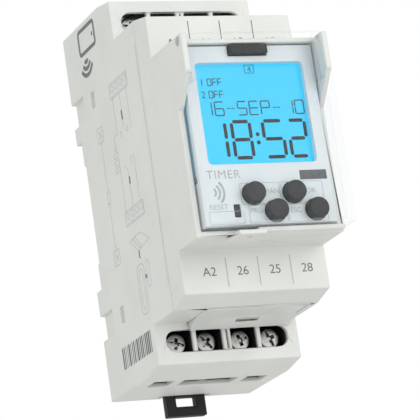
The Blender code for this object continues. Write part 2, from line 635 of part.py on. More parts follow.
def make_clear_cover(material):
    outer_x = half_width - COVER_SIDE_INSET
    arm_x = half_width - EAR_WALL - GAP
    inner_y = COVER_FRONT_Y + COVER_PLATE
    rim_y = NOSE_FRONT_Y - COVER_RIM_GAP
    bottom = -nose_z + COVER_BOTTOM_INSET
    slant_front_z = EAR_SLANT_Z[1] - GAP * 2
    slant_rear_z = EAR_SLANT_Z[0] - GAP * 2
    cover = make_solid("clear_cover", material,
                       [box((-outer_x, outer_x), (COVER_FRONT_Y, inner_y), (bottom, slant_front_z))],
                       joint_at=(0, PIVOT_Y, PIVOT_Z))
    join(cover, [box((-arm_x, arm_x), (COVER_FRONT_Y, inner_y), (slant_front_z - OVERSHOOT, COVER_TOP_Z))])
    wall = [(COVER_FRONT_Y, bottom), (rim_y, bottom), (rim_y, slant_rear_z), (COVER_FRONT_Y, slant_front_z)]
    join(cover, [("X", wall, outer_x - COVER_WALL, outer_x), ("X", wall, -outer_x, -outer_x + COVER_WALL)])
    join(cover, [box((-outer_x, outer_x), (COVER_FRONT_Y, rim_y), (bottom, bottom + COVER_WALL))])
    # The hinge edge is chamfered, so that it clears a battery tray pulled out under the open cover.
    hinge_edge = [(COVER_FRONT_Y, COVER_TOP_Z - COVER_PLATE), (PIVOT_Y, COVER_TOP_Z - COVER_PLATE),
                  (PIVOT_Y - COVER_EDGE_CHAMFER, COVER_TOP_Z), (COVER_FRONT_Y, COVER_TOP_Z)]
    join(cover, [("X", hinge_edge, -arm_x, arm_x)])
    # Arms beside the ears, and the slanted step that joins each arm to its side wall.
    rear_y = PANEL_FRONT_Y - ARM_PANEL_GAP
    swing = TOP_LIP_Y - PIVOT_Y - ARM_SWING_GAP    # room behind the pivot for the arm to turn in
    arm = [(COVER_FRONT_Y, slant_front_z - COVER_WALL), (rear_y, slant_front_z - COVER_WALL),
           (rear_y, PIVOT_Z - swing), (PIVOT_Y + swing, PIVOT_Z),
           (PIVOT_Y + PIN_RADIUS, COVER_TOP_Z), (COVER_FRONT_Y, COVER_TOP_Z)]
    join(cover, [("X", arm, arm_x - COVER_ARM, arm_x), ("X", arm, -arm_x, -arm_x + COVER_ARM)])
    slope = (slant_front_z - slant_rear_z) / (rim_y - COVER_FRONT_Y)
    step_rear_z = slant_front_z - slope * (rear_y - COVER_FRONT_Y)
    step = [(COVER_FRONT_Y, slant_front_z), (COVER_FRONT_Y, slant_front_z - 2 * COVER_WALL),
            (rear_y, step_rear_z - COVER_WALL), (rear_y, step_rear_z)]
    join(cover, [("X", step, arm_x - COVER_ARM, outer_x), ("X", step, -outer_x, -arm_x + COVER_ARM)])
    pin = circle((PIVOT_Y, PIVOT_Z), PIN_RADIUS, PIN_SIDES)
    pin_end = half_width - PIN_END_RECESS
    join(cover, [("X", pin, arm_x - COVER_ARM / 2, pin_end), ("X", pin, -pin_end, -arm_x + COVER_ARM / 2)])
    cut(cover, [box((SEAL_TAB_X[1] - GAP, outer_x + OVERSHOOT),
                    (BOTTOM_LIP_Y - COVER_RIM_GAP, rim_y + OVERSHOOT),
                    (bottom - OVERSHOOT, bottom + COVER_WALL + GAP))])
    cut(cover, [("Z", circle((SEAL_HOLE_X, SEAL_HOLE_Y), SEAL_HOLE_RADIUS, HOLE_SIDES),
                bottom - OVERSHOOT, bottom + COVER_WALL + OVERSHOOT)])
    return cover


def make_front_panel(material):
    panel_x = nose_inner_x - PANEL_SIDE_GAP
    z = (-nose_inner_z + PANEL_END_GAP, nose_inner_z - GAP)
    panel = make_solid("front_panel", material,
                       [box((-panel_x, panel_x), (PANEL_FRONT_Y, panel_rear_y), z)])
    through = (PANEL_FRONT_Y - OVERSHOOT, panel_rear_y + OVERSHOOT)
    window = rounded_rectangle((-WINDOW_WIDTH / 2, WINDOW_WIDTH / 2), WINDOW_Z, WINDOW_RADIUS)
    openings = [("Y", window, *through)]
    for centre in BUTTON_CENTRES:
        openings.append(("Y", circle(centre, BUTTON_RADIUS + BUTTON_HOLE_PLAY, HEAD_SIDES), *through))
    openings.append(box(centred(RESET_CENTRE[0], RESET_SIZE[0] / 2 + BUTTON_HOLE_PLAY), through,
                        centred(RESET_CENTRE[1], RESET_SIZE[1] / 2 + BUTTON_HOLE_PLAY)))
    tray_x = TRAY_HALF_WIDTH + TRAY_SLOT_PLAY
    openings.append(box((-tray_x, tray_x), through, (TRAY_Z[0] - TRAY_SLOT_PLAY, z[1] + OVERSHOOT)))
    cut(panel, openings)
    skirt_y = (panel_rear_y - GAP, board_gap_y)
    skirt_z = (z[0], SKIRT_TOP_Z)
    join(panel, [box((panel_x - SKIRT_WALL, panel_x), skirt_y, skirt_z),
                 box((-panel_x, -panel_x + SKIRT_WALL), skirt_y, skirt_z)])
    return panel


def make_display(materials):
    glass_x = WINDOW_WIDTH / 2 + GLASS_MARGIN
    glass_z = (WINDOW_Z[0] - GLASS_LEDGE, WINDOW_Z[1] + GLASS_TOP_MARGIN)
    make_solid("lcd_glass", materials["glass"],
               [box((-glass_x, glass_x), (glass_front_y, glass_rear_y), glass_z)])
    light_x = WINDOW_WIDTH / 2 + BACKLIGHT_MARGIN
    light_z = (WINDOW_Z[0] - GAP, WINDOW_Z[1] + GAP)
    make_solid("lcd_backlight", materials["backlight"],
               [box((-light_x, light_x), (stack_y, stack_y + BACKLIGHT_THICKNESS), light_z)])
    frame_x = light_x + GAP + FRAME_WALL
    frame_z = (light_z[0] - GAP - FRAME_WALL, light_z[1] + GAP + FRAME_WALL / 2)
    frame = make_solid("lcd_frame", materials["frame"],
                       [box((-frame_x, frame_x), (stack_y, board_gap_y), frame_z)])
    cut(frame, [box((-light_x - GAP, light_x + GAP), (stack_y - OVERSHOOT, board_gap_y + OVERSHOOT),
                    (light_z[0] - GAP, light_z[1] + GAP))])
    zebra_x = glass_x - ZEBRA_END_MARGIN
    zebra_top = frame_z[0] - GAP
    make_solid("contact_strip", materials["rubber"],
               [box((-zebra_x, zebra_x), (stack_y, board_gap_y), (zebra_top - ZEBRA_HEIGHT, zebra_top))])
    board_x = nose_inner_x - PANEL_SIDE_GAP
    board_z = (-nose_inner_z + PANEL_END_GAP, TRAY_Z[0] - TRAY_SLOT_PLAY - GAP)
    make_solid("display_board", materials["board"],
               [box((-board_x, board_x),
                    (DISPLAY_BOARD_FRONT_Y, DISPLAY_BOARD_FRONT_Y + BOARD_THICKNESS), board_z)])


def make_button(name, centre, outline, flange, stem, front_y, material):
    # A cap, a flange behind the panel that keeps it in, and a stem down to the switch.
    flange_front_y = panel_rear_y + GAP
    flange_rear_y = flange_front_y + BUTTON_FLANGE_THICKNESS
    stem_end_y = board_gap_y - SWITCH_HEIGHT - PLUNGER_HEIGHT - button_rest_gap
    button = make_solid(name, material, [("Y", outline, front_y, flange_rear_y - GAP)],
                        joint_at=(centre[0], front_y, centre[1]))
    join(button, [("Y", flange, flange_front_y, flange_rear_y)])
    join(button, [("Y", stem, flange_rear_y - GAP, stem_end_y)])
    return button


def make_buttons(material):
    for name, centre in zip(BUTTON_NAMES, BUTTON_CENTRES):
        button = make_button(name, centre, circle(centre, BUTTON_RADIUS, HEAD_SIDES),
                             circle(centre, BUTTON_RADIUS + BUTTON_FLANGE, HEAD_SIDES),
                             circle(centre, BUTTON_STEM_RADIUS, BUTTON_STEM_SIDES),
                             PANEL_FRONT_Y - BUTTON_PROUD, material)
        shade_round(button)


def rectangle(centre, half_x, half_z):
    return [(centre[0] - half_x, centre[1] - half_z), (centre[0] + half_x, centre[1] - half_z),
            (centre[0] + half_x, centre[1] + half_z), (centre[0] - half_x, centre[1] + half_z)]


def make_reset_button(material):
    half_x = RESET_SIZE[0] / 2
    half_z = RESET_SIZE[1] / 2
    make_button("reset_button", RESET_CENTRE, rectangle(RESET_CENTRE, half_x, half_z),
                rectangle(RESET_CENTRE, half_x + BUTTON_FLANGE, half_z + BUTTON_FLANGE),
                rectangle(RESET_CENTRE, half_x, half_x), PANEL_FRONT_Y + RESET_SINK, material)


def make_switch(name, centre, half_size, material):
    body_front_y = board_gap_y - SWITCH_HEIGHT
    switch = make_solid(name, material,
                        [("Y", rectangle(centre, half_size, half_size), body_front_y, board_gap_y)])
    join(switch, [("Y", circle(centre, PLUNGER_RADIUS, HOLE_SIDES), body_front_y - PLUNGER_HEIGHT,
                   body_front_y + GAP)])


def make_battery_tray(materials):
    front_y = PANEL_FRONT_Y - TRAY_PROUD
    rear_y = front_y + TRAY_LENGTH
    tray = make_solid("battery_tray", materials["tray"],
                      [box((-TRAY_HALF_WIDTH, TRAY_HALF_WIDTH), (front_y, rear_y), TRAY_Z)])
    cell_centre = (0, front_y + CELL_FROM_FRONT)
    floor_z = TRAY_Z[0] + TRAY_FLOOR
    well = circle(cell_centre, CELL_RADIUS + CELL_PLAY, DISC_SIDES)
    cut(tray, [("Z", well, floor_z, TRAY_Z[1] + OVERSHOOT)])
    cell = make_solid("button_cell", materials["cell"],
                      [("Z", circle(cell_centre, CELL_RADIUS, DISC_SIDES), floor_z + CLOSE_GAP,
                        floor_z + CLOSE_GAP + CELL_THICKNESS)])
    shade_round(cell)


def make_power_board(materials):
    board_z = cavity_z - BOARD_PLAY
    board_x = cavity_x - BOARD_PLAY
    make_solid("power_board", materials["board"],
               [box((-board_x, board_x), (POWER_BOARD_FRONT_Y, POWER_BOARD_FRONT_Y + BOARD_THICKNESS),
                    (-board_z, board_z))])
    base_y = POWER_BOARD_FRONT_Y - GAP
    relay_z = -board_z + RELAY_END_GAP
    for name, side in (("relay_left", -1), ("relay_right", 1)):
        middle = side * (RELAY_SIZE[0] + RELAY_SPACING) / 2
        make_solid(name, materials["relay"],
                   [box(centred(middle, RELAY_SIZE[0] / 2), (base_y - RELAY_SIZE[1], base_y),
                        (relay_z, relay_z + RELAY_SIZE[2]))])
    make_supply_parts(materials, base_y, relay_z + RELAY_SIZE[2] + PART_SPACING)
    make_solid("link_board", materials["board"],
               [box(centred(0, LINK_BOARD_THICKNESS / 2),
                    (DISPLAY_BOARD_FRONT_Y + BOARD_THICKNESS + GAP, base_y), LINK_BOARD_Z)])


def make_supply_parts(materials, base_y, low_z):
    # Left and right columns beside the link board, above the relays.
    column_x = (cavity_x + LINK_BOARD_THICKNESS / 2) / 2
    capacitor_z = low_z + CAPACITOR_RADIUS
    capacitor = make_solid("smoothing_capacitor", materials["capacitor"],
                           [("Y", circle((-column_x, capacitor_z), CAPACITOR_RADIUS, DISC_SIDES),
                             base_y - CAPACITOR_LENGTH, base_y)])
    shade_round(capacitor)
    varistor_z = low_z + 2 * CAPACITOR_RADIUS + PART_SPACING
    disc_y = base_y - VARISTOR_STANDOFF - VARISTOR_RADIUS
    varistor = make_solid("varistor", materials["varistor"],
                          [("Z", circle((-column_x, disc_y), VARISTOR_RADIUS, HEAD_SIDES),
                            varistor_z, varistor_z + VARISTOR_THICKNESS)])
    foot_z = (varistor_z + VARISTOR_THICKNESS / 4, varistor_z + VARISTOR_THICKNESS * 3 / 4)
    join(varistor, [box(centred(-column_x, VARISTOR_RADIUS / 2), (disc_y, base_y), foot_z)])
    make_solid("supply_transformer", materials["transformer"],
               [box(centred(column_x, TRANSFORMER_SIZE[0] / 2), (base_y - TRANSFORMER_SIZE[1], base_y),
                    (low_z, low_z + TRANSFORMER_SIZE[2]))])
    film_z = low_z + TRANSFORMER_SIZE[2] + PART_SPACING
    make_solid("film_capacitor", materials["film"],
               [box(centred(column_x, FILM_SIZE[0] / 2), (base_y - FILM_SIZE[1], base_y),
                    (film_z, film_z + FILM_SIZE[2]))])


def make_materials():
    plastic = make_material("housing_plastic", (0.73, 0.75, 0.71), 0.45)
    metal = make_material("screw_steel", (0.55, 0.55, 0.53), 0.35, metallic=1.0)
    return {
        "housing": plastic,
        "clear": make_material("clear_polycarbonate", (0.92, 0.96, 0.97), 0.05, alpha=0.3),
        "panel": make_material("panel_plastic", (0.68, 0.75, 0.77), 0.4),
        "black": make_material("black_plastic", (0.02, 0.02, 0.02), 0.5),
        "button": make_material("button_rubber", (0.07, 0.07, 0.075), 0.6),
        "screw": metal,
        "cage": make_material("cage_steel", (0.5, 0.5, 0.48), 0.4, metallic=1.0),
        "bar": make_material("tinned_copper", (0.6, 0.58, 0.54), 0.35, metallic=1.0),
        "spring": make_material("spring_steel", (0.4, 0.4, 0.4), 0.3, metallic=1.0),
        "glass": make_material("display_glass", (0.11, 0.7, 1.0), 0.1),
        "backlight": make_material("light_guide", (0.75, 0.9, 1.0), 0.2),
        "frame": make_material("white_plastic", (0.8, 0.8, 0.8), 0.5),
        "rubber": make_material("contact_rubber", (0.25, 0.25, 0.26), 0.7),
        "board": make_material("circuit_board", (0.02, 0.2, 0.07), 0.5),
        "relay": make_material("relay_case", (0.05, 0.12, 0.35), 0.4),
        "capacitor": make_material("capacitor_sleeve", (0.03, 0.03, 0.06), 0.35),
        "varistor": make_material("varistor_coating", (0.05, 0.15, 0.5), 0.4),
        "transformer": make_material("winding_tape", (0.7, 0.55, 0.1), 0.5),
        "film": make_material("film_case", (0.6, 0.55, 0.35), 0.5),
        "tray": make_material("tray_plastic", (0.02, 0.02, 0.02), 0.45),
        "cell": make_material("cell_steel", (0.6, 0.6, 0.6), 0.25, metallic=1.0),
    }


def clear_scene():
    for item in list(bpy.data.objects):
        bpy.data.objects.remove(item, do_unlink=True)


def main():
    clear_scene()
    materials = make_materials()
    make_rear_housing(materials["housing"])
    make_front_housing(materials["housing"])
    make_rail_clip(materials["black"])
    make_clip_spring(materials["spring"])
    for end, side in (("top", 1), ("bottom", -1)):
        for number, x in enumerate(terminal_xs, start=1):
            make_terminal(end, number, x, side, materials)
    make_power_board(materials)
    make_display(materials)
    make_front_panel(materials["panel"])
    make_buttons(materials["button"])
    make_reset_button(materials["button"])
    for name, centre in zip(BUTTON_NAMES, BUTTON_CENTRES):
        make_switch(name.replace("button", "switch"), centre, SWITCH_HALF_SIZE, materials["black"])
    make_switch("switch_reset", RESET_CENTRE, RESET_SWITCH_HALF_SIZE, materials["black"])
    make_battery_tray(materials)
    make_clear_cover(materials["clear"])


main()
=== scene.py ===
import json
import math
import bpy
import bmesh
from mathutils import Matrix, Vector


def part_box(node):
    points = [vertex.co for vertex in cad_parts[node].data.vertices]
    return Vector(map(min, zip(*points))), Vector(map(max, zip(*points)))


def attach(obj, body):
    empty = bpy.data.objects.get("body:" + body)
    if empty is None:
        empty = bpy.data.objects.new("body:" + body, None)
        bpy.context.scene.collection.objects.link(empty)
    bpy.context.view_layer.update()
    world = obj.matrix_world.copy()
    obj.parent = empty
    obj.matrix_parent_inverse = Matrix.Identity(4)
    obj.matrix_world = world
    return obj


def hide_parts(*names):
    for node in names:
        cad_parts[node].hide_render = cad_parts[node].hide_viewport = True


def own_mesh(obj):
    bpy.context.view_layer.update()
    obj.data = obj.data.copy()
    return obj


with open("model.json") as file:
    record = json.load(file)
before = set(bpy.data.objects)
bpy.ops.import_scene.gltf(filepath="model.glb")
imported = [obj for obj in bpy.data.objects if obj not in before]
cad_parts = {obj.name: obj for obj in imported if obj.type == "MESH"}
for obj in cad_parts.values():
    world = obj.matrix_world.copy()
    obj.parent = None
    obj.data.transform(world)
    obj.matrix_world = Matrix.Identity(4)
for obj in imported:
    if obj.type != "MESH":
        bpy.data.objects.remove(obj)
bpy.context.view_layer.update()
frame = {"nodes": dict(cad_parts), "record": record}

# Looks for a DIN rail time switch: moulded housings, clear hinged cover, lit display, rubber keys,
# clamp terminals and the parts inside. -Y is the front, +Z the top, and the rail face is at y = 0.

mm = 0.001
bodyOf = {node: body for body, nodes in frame["record"]["behaviour"]["bodies"].items() for node in nodes}
weldDistance = 0.001 * mm
inkLift = 0.02 * mm                              # how far print stands off the plastic
bpy.context.scene.view_settings.view_transform = "Standard"


# Helpers for nodes, meshes and pieces.

def feed(tree, socket, value):
    # A socket is linked, and any other value is set.
    if isinstance(value, bpy.types.NodeSocket):
        tree.links.new(value, socket)
    else:
        socket.default_value = value


def addNode(tree, kind, inputs=None, **settings):
    node = tree.nodes.new(kind)
    for name, value in settings.items():
        setattr(node, name, value)
    for name, value in (inputs or {}).items():
        feed(tree, node.inputs[name], value)
    return node


def mathNode(tree, operation, a, b=None, clamp=False):
    node = addNode(tree, "ShaderNodeMath", operation=operation, use_clamp=clamp)
    for socket, value in zip(node.inputs, (a, b)):
        if value is not None:
            feed(tree, socket, value)
    return node.outputs["Value"]


def mixColour(tree, amount, a, b):
    node = addNode(tree, "ShaderNodeMix", {0: amount}, data_type="RGBA")
    for index, colour in ((6, a), (7, b)):
        feed(tree, node.inputs[index], (*colour, 1.0) if isinstance(colour, tuple) else colour)
    return node.outputs[2]


def mapRange(tree, value, low, high, start=0.0, end=1.0, **settings):
    # Takes value from the span low..high to the span start..end.
    return addNode(tree, "ShaderNodeMapRange", {"Value": value, "From Min": low, "From Max": high,
                                                "To Min": start, "To Max": end}, **settings).outputs["Result"]


def objectPlace(tree):
    return addNode(tree, "ShaderNodeTexCoord").outputs["Object"]


def splitAxes(tree, vector):
    node = addNode(tree, "ShaderNodeSeparateXYZ", {"Vector": vector})
    return (node.outputs[axis] for axis in ("X", "Y", "Z"))


def newMaterial(name, **inputs):
    material = bpy.data.materials.new(name)
    material.use_nodes = True
    tree = material.node_tree
    shader = tree.nodes["Principled BSDF"]
    for socket, value in inputs.items():
        shader.inputs[socket.replace("_", " ")].default_value = value
    return material, tree, shader


def plainMesh(name, bm, smoothAngle=32):
    bmesh.ops.recalc_face_normals(bm, faces=bm.faces)
    mesh = bpy.data.meshes.new(name)
    bm.to_mesh(mesh)
    bm.free()
    mesh.shade_smooth()
    mesh.set_sharp_from_angle(angle=math.radians(smoothAngle))
    return mesh


def linked(name, data):
    holder = bpy.data.objects.new(name, data)
    bpy.context.scene.collection.objects.link(holder)
    return holder


def showPiece(name, mesh, body, material, standsFor=()):
    piece = linked(name, mesh)
    mesh.materials.clear()
    mesh.materials.append(material)
    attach(piece, body)
    if standsFor:
        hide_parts(*standsFor)
    return piece


def bakedMesh(holder, name):
    evaluated = holder.evaluated_get(bpy.context.evaluated_depsgraph_get())
    mesh = bpy.data.meshes.new_from_object(evaluated)
    mesh.name = name
    bpy.data.objects.remove(holder)
    return mesh


rounding = {"segments": 3, "sharpDegrees": 30, "room": 2.0}


def softCopy(node, width):
    # The node's own shape with its edges rounded off, as a moulded or stamped part has them.
    # An edge that ends in a corner too small for the rounding stays as it is.
    bm = bmesh.new()
    bm.from_mesh(frame["nodes"][node].data)
    bmesh.ops.remove_doubles(bm, verts=bm.verts, dist=weldDistance)
    limit, shortest = math.radians(rounding["sharpDegrees"]), rounding["room"] * width
    sharp = {e for e in bm.edges if len(e.link_faces) == 2 and e.calc_face_angle(0) > limit}
    roomy = {v for v in bm.verts if all(e.calc_length() > shortest for e in v.link_edges if e in sharp)}
    edges = [e for e in bm.edges if e in sharp and all(v in roomy for v in e.verts)]
    bmesh.ops.bevel(bm, geom=edges, offset=width, offset_type="OFFSET",
                    segments=rounding["segments"], profile=0.5, affect="EDGES", clamp_overlap=False)
    holder = linked(f"{node}Soft", plainMesh(f"{node}Soft", bm))
    weighted = holder.modifiers.new("weighted", "WEIGHTED_NORMAL")   # keeps the wide faces flat
    weighted.keep_sharp = True
    return bakedMesh(holder, f"{node}Soft")


def turnedMesh(name, profile, sides):
    # profile: (radius, depth) from the front of the axis to its rear; the axis runs along +Y.
    bm = bmesh.new()
    rings = []
    for radius, depth in profile:
        if radius == 0:
            rings.append([bm.verts.new((0, depth, 0))])
            continue
        rings.append([bm.verts.new((radius * math.cos(2 * math.pi * i / sides), depth,
                                    radius * math.sin(2 * math.pi * i / sides))) for i in range(sides)])
    for near, far in zip(rings, rings[1:]):
        for i in range(sides):
            j = (i + 1) % sides
            if len(near) == 1:
                bm.faces.new((near[0], far[i], far[j]))
            elif len(far) == 1:
                bm.faces.new((near[i], near[j], far[0]))
            else:
                bm.faces.new((near[i], near[j], far[j], far[i]))
    return plainMesh(name, bm)


def arcPoints(centre, radius, start, end, steps):
    # Angles in degrees, from the first axis towards the second.
    points = []
    for i in range(steps + 1):
        angle = math.radians(start + (end - start) * i / steps)
        points.append((centre[0] + radius * math.cos(angle), centre[1] + radius * math.sin(angle)))
    return points


# Shader groups that several finishes share.

def newShaderGroup(name, inputs, outputs):
    tree = bpy.data.node_groups.new(name, "ShaderNodeTree")
    for label, default in inputs:
        socket = tree.interface.new_socket(label, in_out="INPUT", socket_type="NodeSocketFloat")
        socket.default_value = default
    for label in outputs:
        tree.interface.new_socket(label, in_out="OUTPUT", socket_type="NodeSocketFloat")
    return tree, addNode(tree, "NodeGroupInput"), addNode(tree, "NodeGroupOutput")


def buildMouldGrain():
    # Spark-eroded mould texture: a fine height, and a slow mottle for colour and gloss.
    tree, given, result = newShaderGroup("mouldGrain", [("Grain Scale", 5200.0), ("Mottle Scale", 90.0)],
                                         ["Height", "Mottle"])
    place = objectPlace(tree)
    fine = addNode(tree, "ShaderNodeTexNoise", {"Vector": place, "Scale": given.outputs["Grain Scale"],
                                                "Detail": 3.0, "Roughness": 0.6})
    slow = addNode(tree, "ShaderNodeTexNoise", {"Vector": place, "Scale": given.outputs["Mottle Scale"],
                                                "Detail": 4.0, "Roughness": 0.55})
    feed(tree, result.inputs["Height"], fine.outputs["Fac"])
    feed(tree, result.inputs["Mottle"], mapRange(tree, slow.outputs["Fac"], 0.34, 0.66))
    return tree


def buildBrushing():
    # Fine marks of rolling or turning: noise squeezed by one amount in X and Y and by another in Z.
    tree, given, result = newShaderGroup("metalBrushing", [("Across", 9000.0), ("Along", 500.0)],
                                         ["Height", "Streak"])
    across, along = given.outputs["Across"], given.outputs["Along"]
    stretch = addNode(tree, "ShaderNodeCombineXYZ", {"X": across, "Y": across, "Z": along})
    scaled = addNode(tree, "ShaderNodeVectorMath", {0: objectPlace(tree), 1: stretch.outputs["Vector"]},
                     operation="MULTIPLY")
    streak = addNode(tree, "ShaderNodeTexNoise", {"Vector": scaled.outputs["Vector"], "Scale": 1.0,
                                                  "Detail": 3.0})
    for output in ("Height", "Streak"):
        feed(tree, result.inputs[output], streak.outputs["Fac"])
    return tree


grainGroup = buildMouldGrain()
brushGroup = buildBrushing()


def placeGroup(tree, group, **inputs):
    node = addNode(tree, "ShaderNodeGroup", node_tree=group)
    for name, value in inputs.items():
        node.inputs[name.replace("_", " ")].default_value = value
    return node


def addBump(tree, shader, height, strength, distance):
    bump = addNode(tree, "ShaderNodeBump", {"Height": height, "Strength": strength, "Distance": distance})
    feed(tree, shader.inputs["Normal"], bump.outputs["Normal"])


# Finishes.

def grainedPlastic(name, light, dark, roughness, bump=0.25, grainScale=5200.0, mottleScale=90.0, **inputs):
    material, tree, shader = newMaterial(name, **inputs)
    grain = placeGroup(tree, grainGroup, Grain_Scale=grainScale, Mottle_Scale=mottleScale)
    tone = mixColour(tree, grain.outputs["Mottle"], light, dark)
    feed(tree, shader.inputs["Base Color"], tone)
    gloss = mapRange(tree, grain.outputs["Mottle"], 0.0, 1.0, roughness - 0.04, roughness + 0.05)
    feed(tree, shader.inputs["Roughness"], gloss)
    addBump(tree, shader, grain.outputs["Height"], bump, 0.02 * mm)
    return material, tree, shader, tone


def plastic(*plan, **more):
    return grainedPlastic(*plan, **more)[0]


def axisBand(tree, value, edge, softness):
    # 1 where value is past edge, going to 0 over softness before it.
    return mapRange(tree, value, edge - softness, edge, interpolation_type="SMOOTHSTEP")


def makeHousingPlastic():
    # Pale warm grey with a fine grain, with painted shade taking it down to near black inside the terminal
    # chambers.
    look = {"light": (0.735, 0.75, 0.715), "dark": (0.70, 0.717, 0.682), "inside": (0.018, 0.018, 0.018)}
    chamberShadeBox = {"z": 34.6 * mm, "endZ": 43.9 * mm, "y": -27.6 * mm, "rearY": -5.9 * mm, "x": 15.6 * mm}
    material, tree, shader, tone = grainedPlastic("housingPlastic", look["light"], look["dark"], 0.46)
    x, y, z = splitAxes(tree, objectPlace(tree))
    x, z = mathNode(tree, "ABSOLUTE", x), mathNode(tree, "ABSOLUTE", z)
    # Painted shade: a box mask darkens the light housing inside the terminal chambers, where it lies in
    # shadow.
    inside = mathNode(tree, "MULTIPLY", axisBand(tree, z, chamberShadeBox["z"], 0.4 * mm),
                      axisBand(tree, y, chamberShadeBox["y"], 1.0 * mm))
    for value, edge in ((x, chamberShadeBox["x"]), (z, chamberShadeBox["endZ"]), (y, chamberShadeBox["rearY"])):
        past = axisBand(tree, value, edge, 0.3 * mm)
        inside = mathNode(tree, "MULTIPLY", inside, mathNode(tree, "SUBTRACT", 1.0, past))
    shaded = mixColour(tree, inside, tone, look["inside"])
    feed(tree, shader.inputs["Base Color"], shaded)
    return material


def makeClearPlastic():
    # Polished clear polycarbonate: seen face on it hardly shows, and its edges and flanks turn milky with
    # painted reflection, as its opacity rises towards grazing views.
    material, tree, shader = newMaterial("clearPolycarbonate", Roughness=0.05, IOR=1.58)
    grain = placeGroup(tree, grainGroup, Grain_Scale=700.0, Mottle_Scale=60.0)
    facing = addNode(tree, "ShaderNodeLayerWeight", {"Blend": 0.32})
    feed(tree, shader.inputs["Base Color"],
         mixColour(tree, facing.outputs["Facing"], (0.90, 0.95, 0.98), (0.93, 0.95, 0.95)))
    # Painted reflection: the opacity rises towards grazing views, so the pale colour shows on edges and
    # flanks where the surface's sheen would be.
    rise = mapRange(tree, facing.outputs["Facing"], 0.3, 0.97, 0.015, 0.42)
    haze = mathNode(tree, "MULTIPLY", grain.outputs["Mottle"], 0.006)
    feed(tree, shader.inputs["Alpha"], mathNode(tree, "ADD", rise, haze, clamp=True))
    return material


def makeDisplayFace():
    # Backlit liquid crystal: an even cyan glow, a little deeper towards the edges.
    look = {"glow": (0.022, 0.60, 0.97), "edge": (0.015, 0.53, 0.90), "halfWidth": 13.6 * mm,
            "middleZ": 5.4 * mm}
    material, tree, shader = newMaterial("displayFace", Base_Color=(0.01, 0.02, 0.02, 1.0), Roughness=0.22,
                                         Emission_Strength=1.0, Specular_IOR_Level=0.2)
    place = objectPlace(tree)
    centred = addNode(tree, "ShaderNodeMapping", {"Vector": place, "Location": (0, 0, -look["middleZ"])})
    x, _, z = splitAxes(tree, centred.outputs["Vector"])
    reach = mathNode(tree, "MAXIMUM", mathNode(tree, "ABSOLUTE", x), mathNode(tree, "ABSOLUTE", z))
    edge = axisBand(tree, reach, look["halfWidth"], 1.6 * mm)
    cells = addNode(tree, "ShaderNodeTexNoise", {"Vector": place, "Scale": 40.0, "Detail": 2.0})
    uneven = mathNode(tree, "MULTIPLY", cells.outputs["Fac"], 0.12)
    depth = mathNode(tree, "ADD", edge, uneven, clamp=True)
    feed(tree, shader.inputs["Emission Color"], mixColour(tree, depth, look["glow"], look["edge"]))
    return material


def makeMetal(name, light, dark, roughness, across=9000.0, along=500.0, bump=0.15):
    material, tree, shader = newMaterial(name, Metallic=1.0)
    brushed = placeGroup(tree, brushGroup, Across=across, Along=along)
    feed(tree, shader.inputs["Base Color"], mixColour(tree, brushed.outputs["Streak"], light, dark))
    gloss = mapRange(tree, brushed.outputs["Streak"], 0.0, 1.0, roughness - 0.08, roughness + 0.1)
    feed(tree, shader.inputs["Roughness"], gloss)
    addBump(tree, shader, brushed.outputs["Height"], bump, 0.01 * mm)
    return material


def makeInk(name, colour, roughness=0.55):
    # Pad-printed ink, slightly uneven where it was laid thin.
    material, tree, shader = newMaterial(name, Roughness=roughness)
    grain = placeGroup(tree, grainGroup, Grain_Scale=3000.0, Mottle_Scale=900.0)
    thin = tuple(min(1.0, c * 1.2 + 0.02) for c in colour)
    feed(tree, shader.inputs["Base Color"], mixColour(tree, grain.outputs["Mottle"], colour, thin))
    return material


def makeBoardLaminate():
    # Green solder mask over copper: the tracks show as paler lines, with tinned dots scattered on them.
    material, tree, shader = newMaterial("boardLaminate", Roughness=0.35)
    place = objectPlace(tree)
    turned = addNode(tree, "ShaderNodeMapping", {"Vector": place, "Rotation": (math.pi / 2, 0, 0)})
    tracks = addNode(tree, "ShaderNodeTexBrick", {
        "Vector": turned.outputs["Vector"], "Scale": 260.0, "Mortar Size": 0.035, "Brick Width": 0.9,
        "Row Height": 0.28}, offset=0.37)
    dots = addNode(tree, "ShaderNodeTexVoronoi", {"Vector": place, "Scale": 420.0})
    pad = mapRange(tree, dots.outputs["Distance"], 0.16, 0.2, 1.0, 0.0)
    masked = mixColour(tree, tracks.outputs["Fac"], (0.012, 0.14, 0.05), (0.03, 0.26, 0.10))
    tinned = mixColour(tree, pad, masked, (0.62, 0.60, 0.55))
    feed(tree, shader.inputs["Base Color"], tinned)
    addBump(tree, shader, tracks.outputs["Fac"], 0.3, 0.03 * mm)
    return material


def makeWindingTape():
    # Yellow polyester tape in overlapping turns.
    material, tree, shader = newMaterial("windingTape", Roughness=0.3)
    turns = addNode(tree, "ShaderNodeTexWave", {"Vector": objectPlace(tree), "Scale": 150.0,
                                                "Distortion": 0.6, "Detail": 1.0}, bands_direction="Z")
    feed(tree, shader.inputs["Base Color"],
         mixColour(tree, turns.outputs["Fac"], (0.62, 0.44, 0.05), (0.78, 0.60, 0.12)))
    addBump(tree, shader, turns.outputs["Fac"], 0.4, 0.05 * mm)
    return material


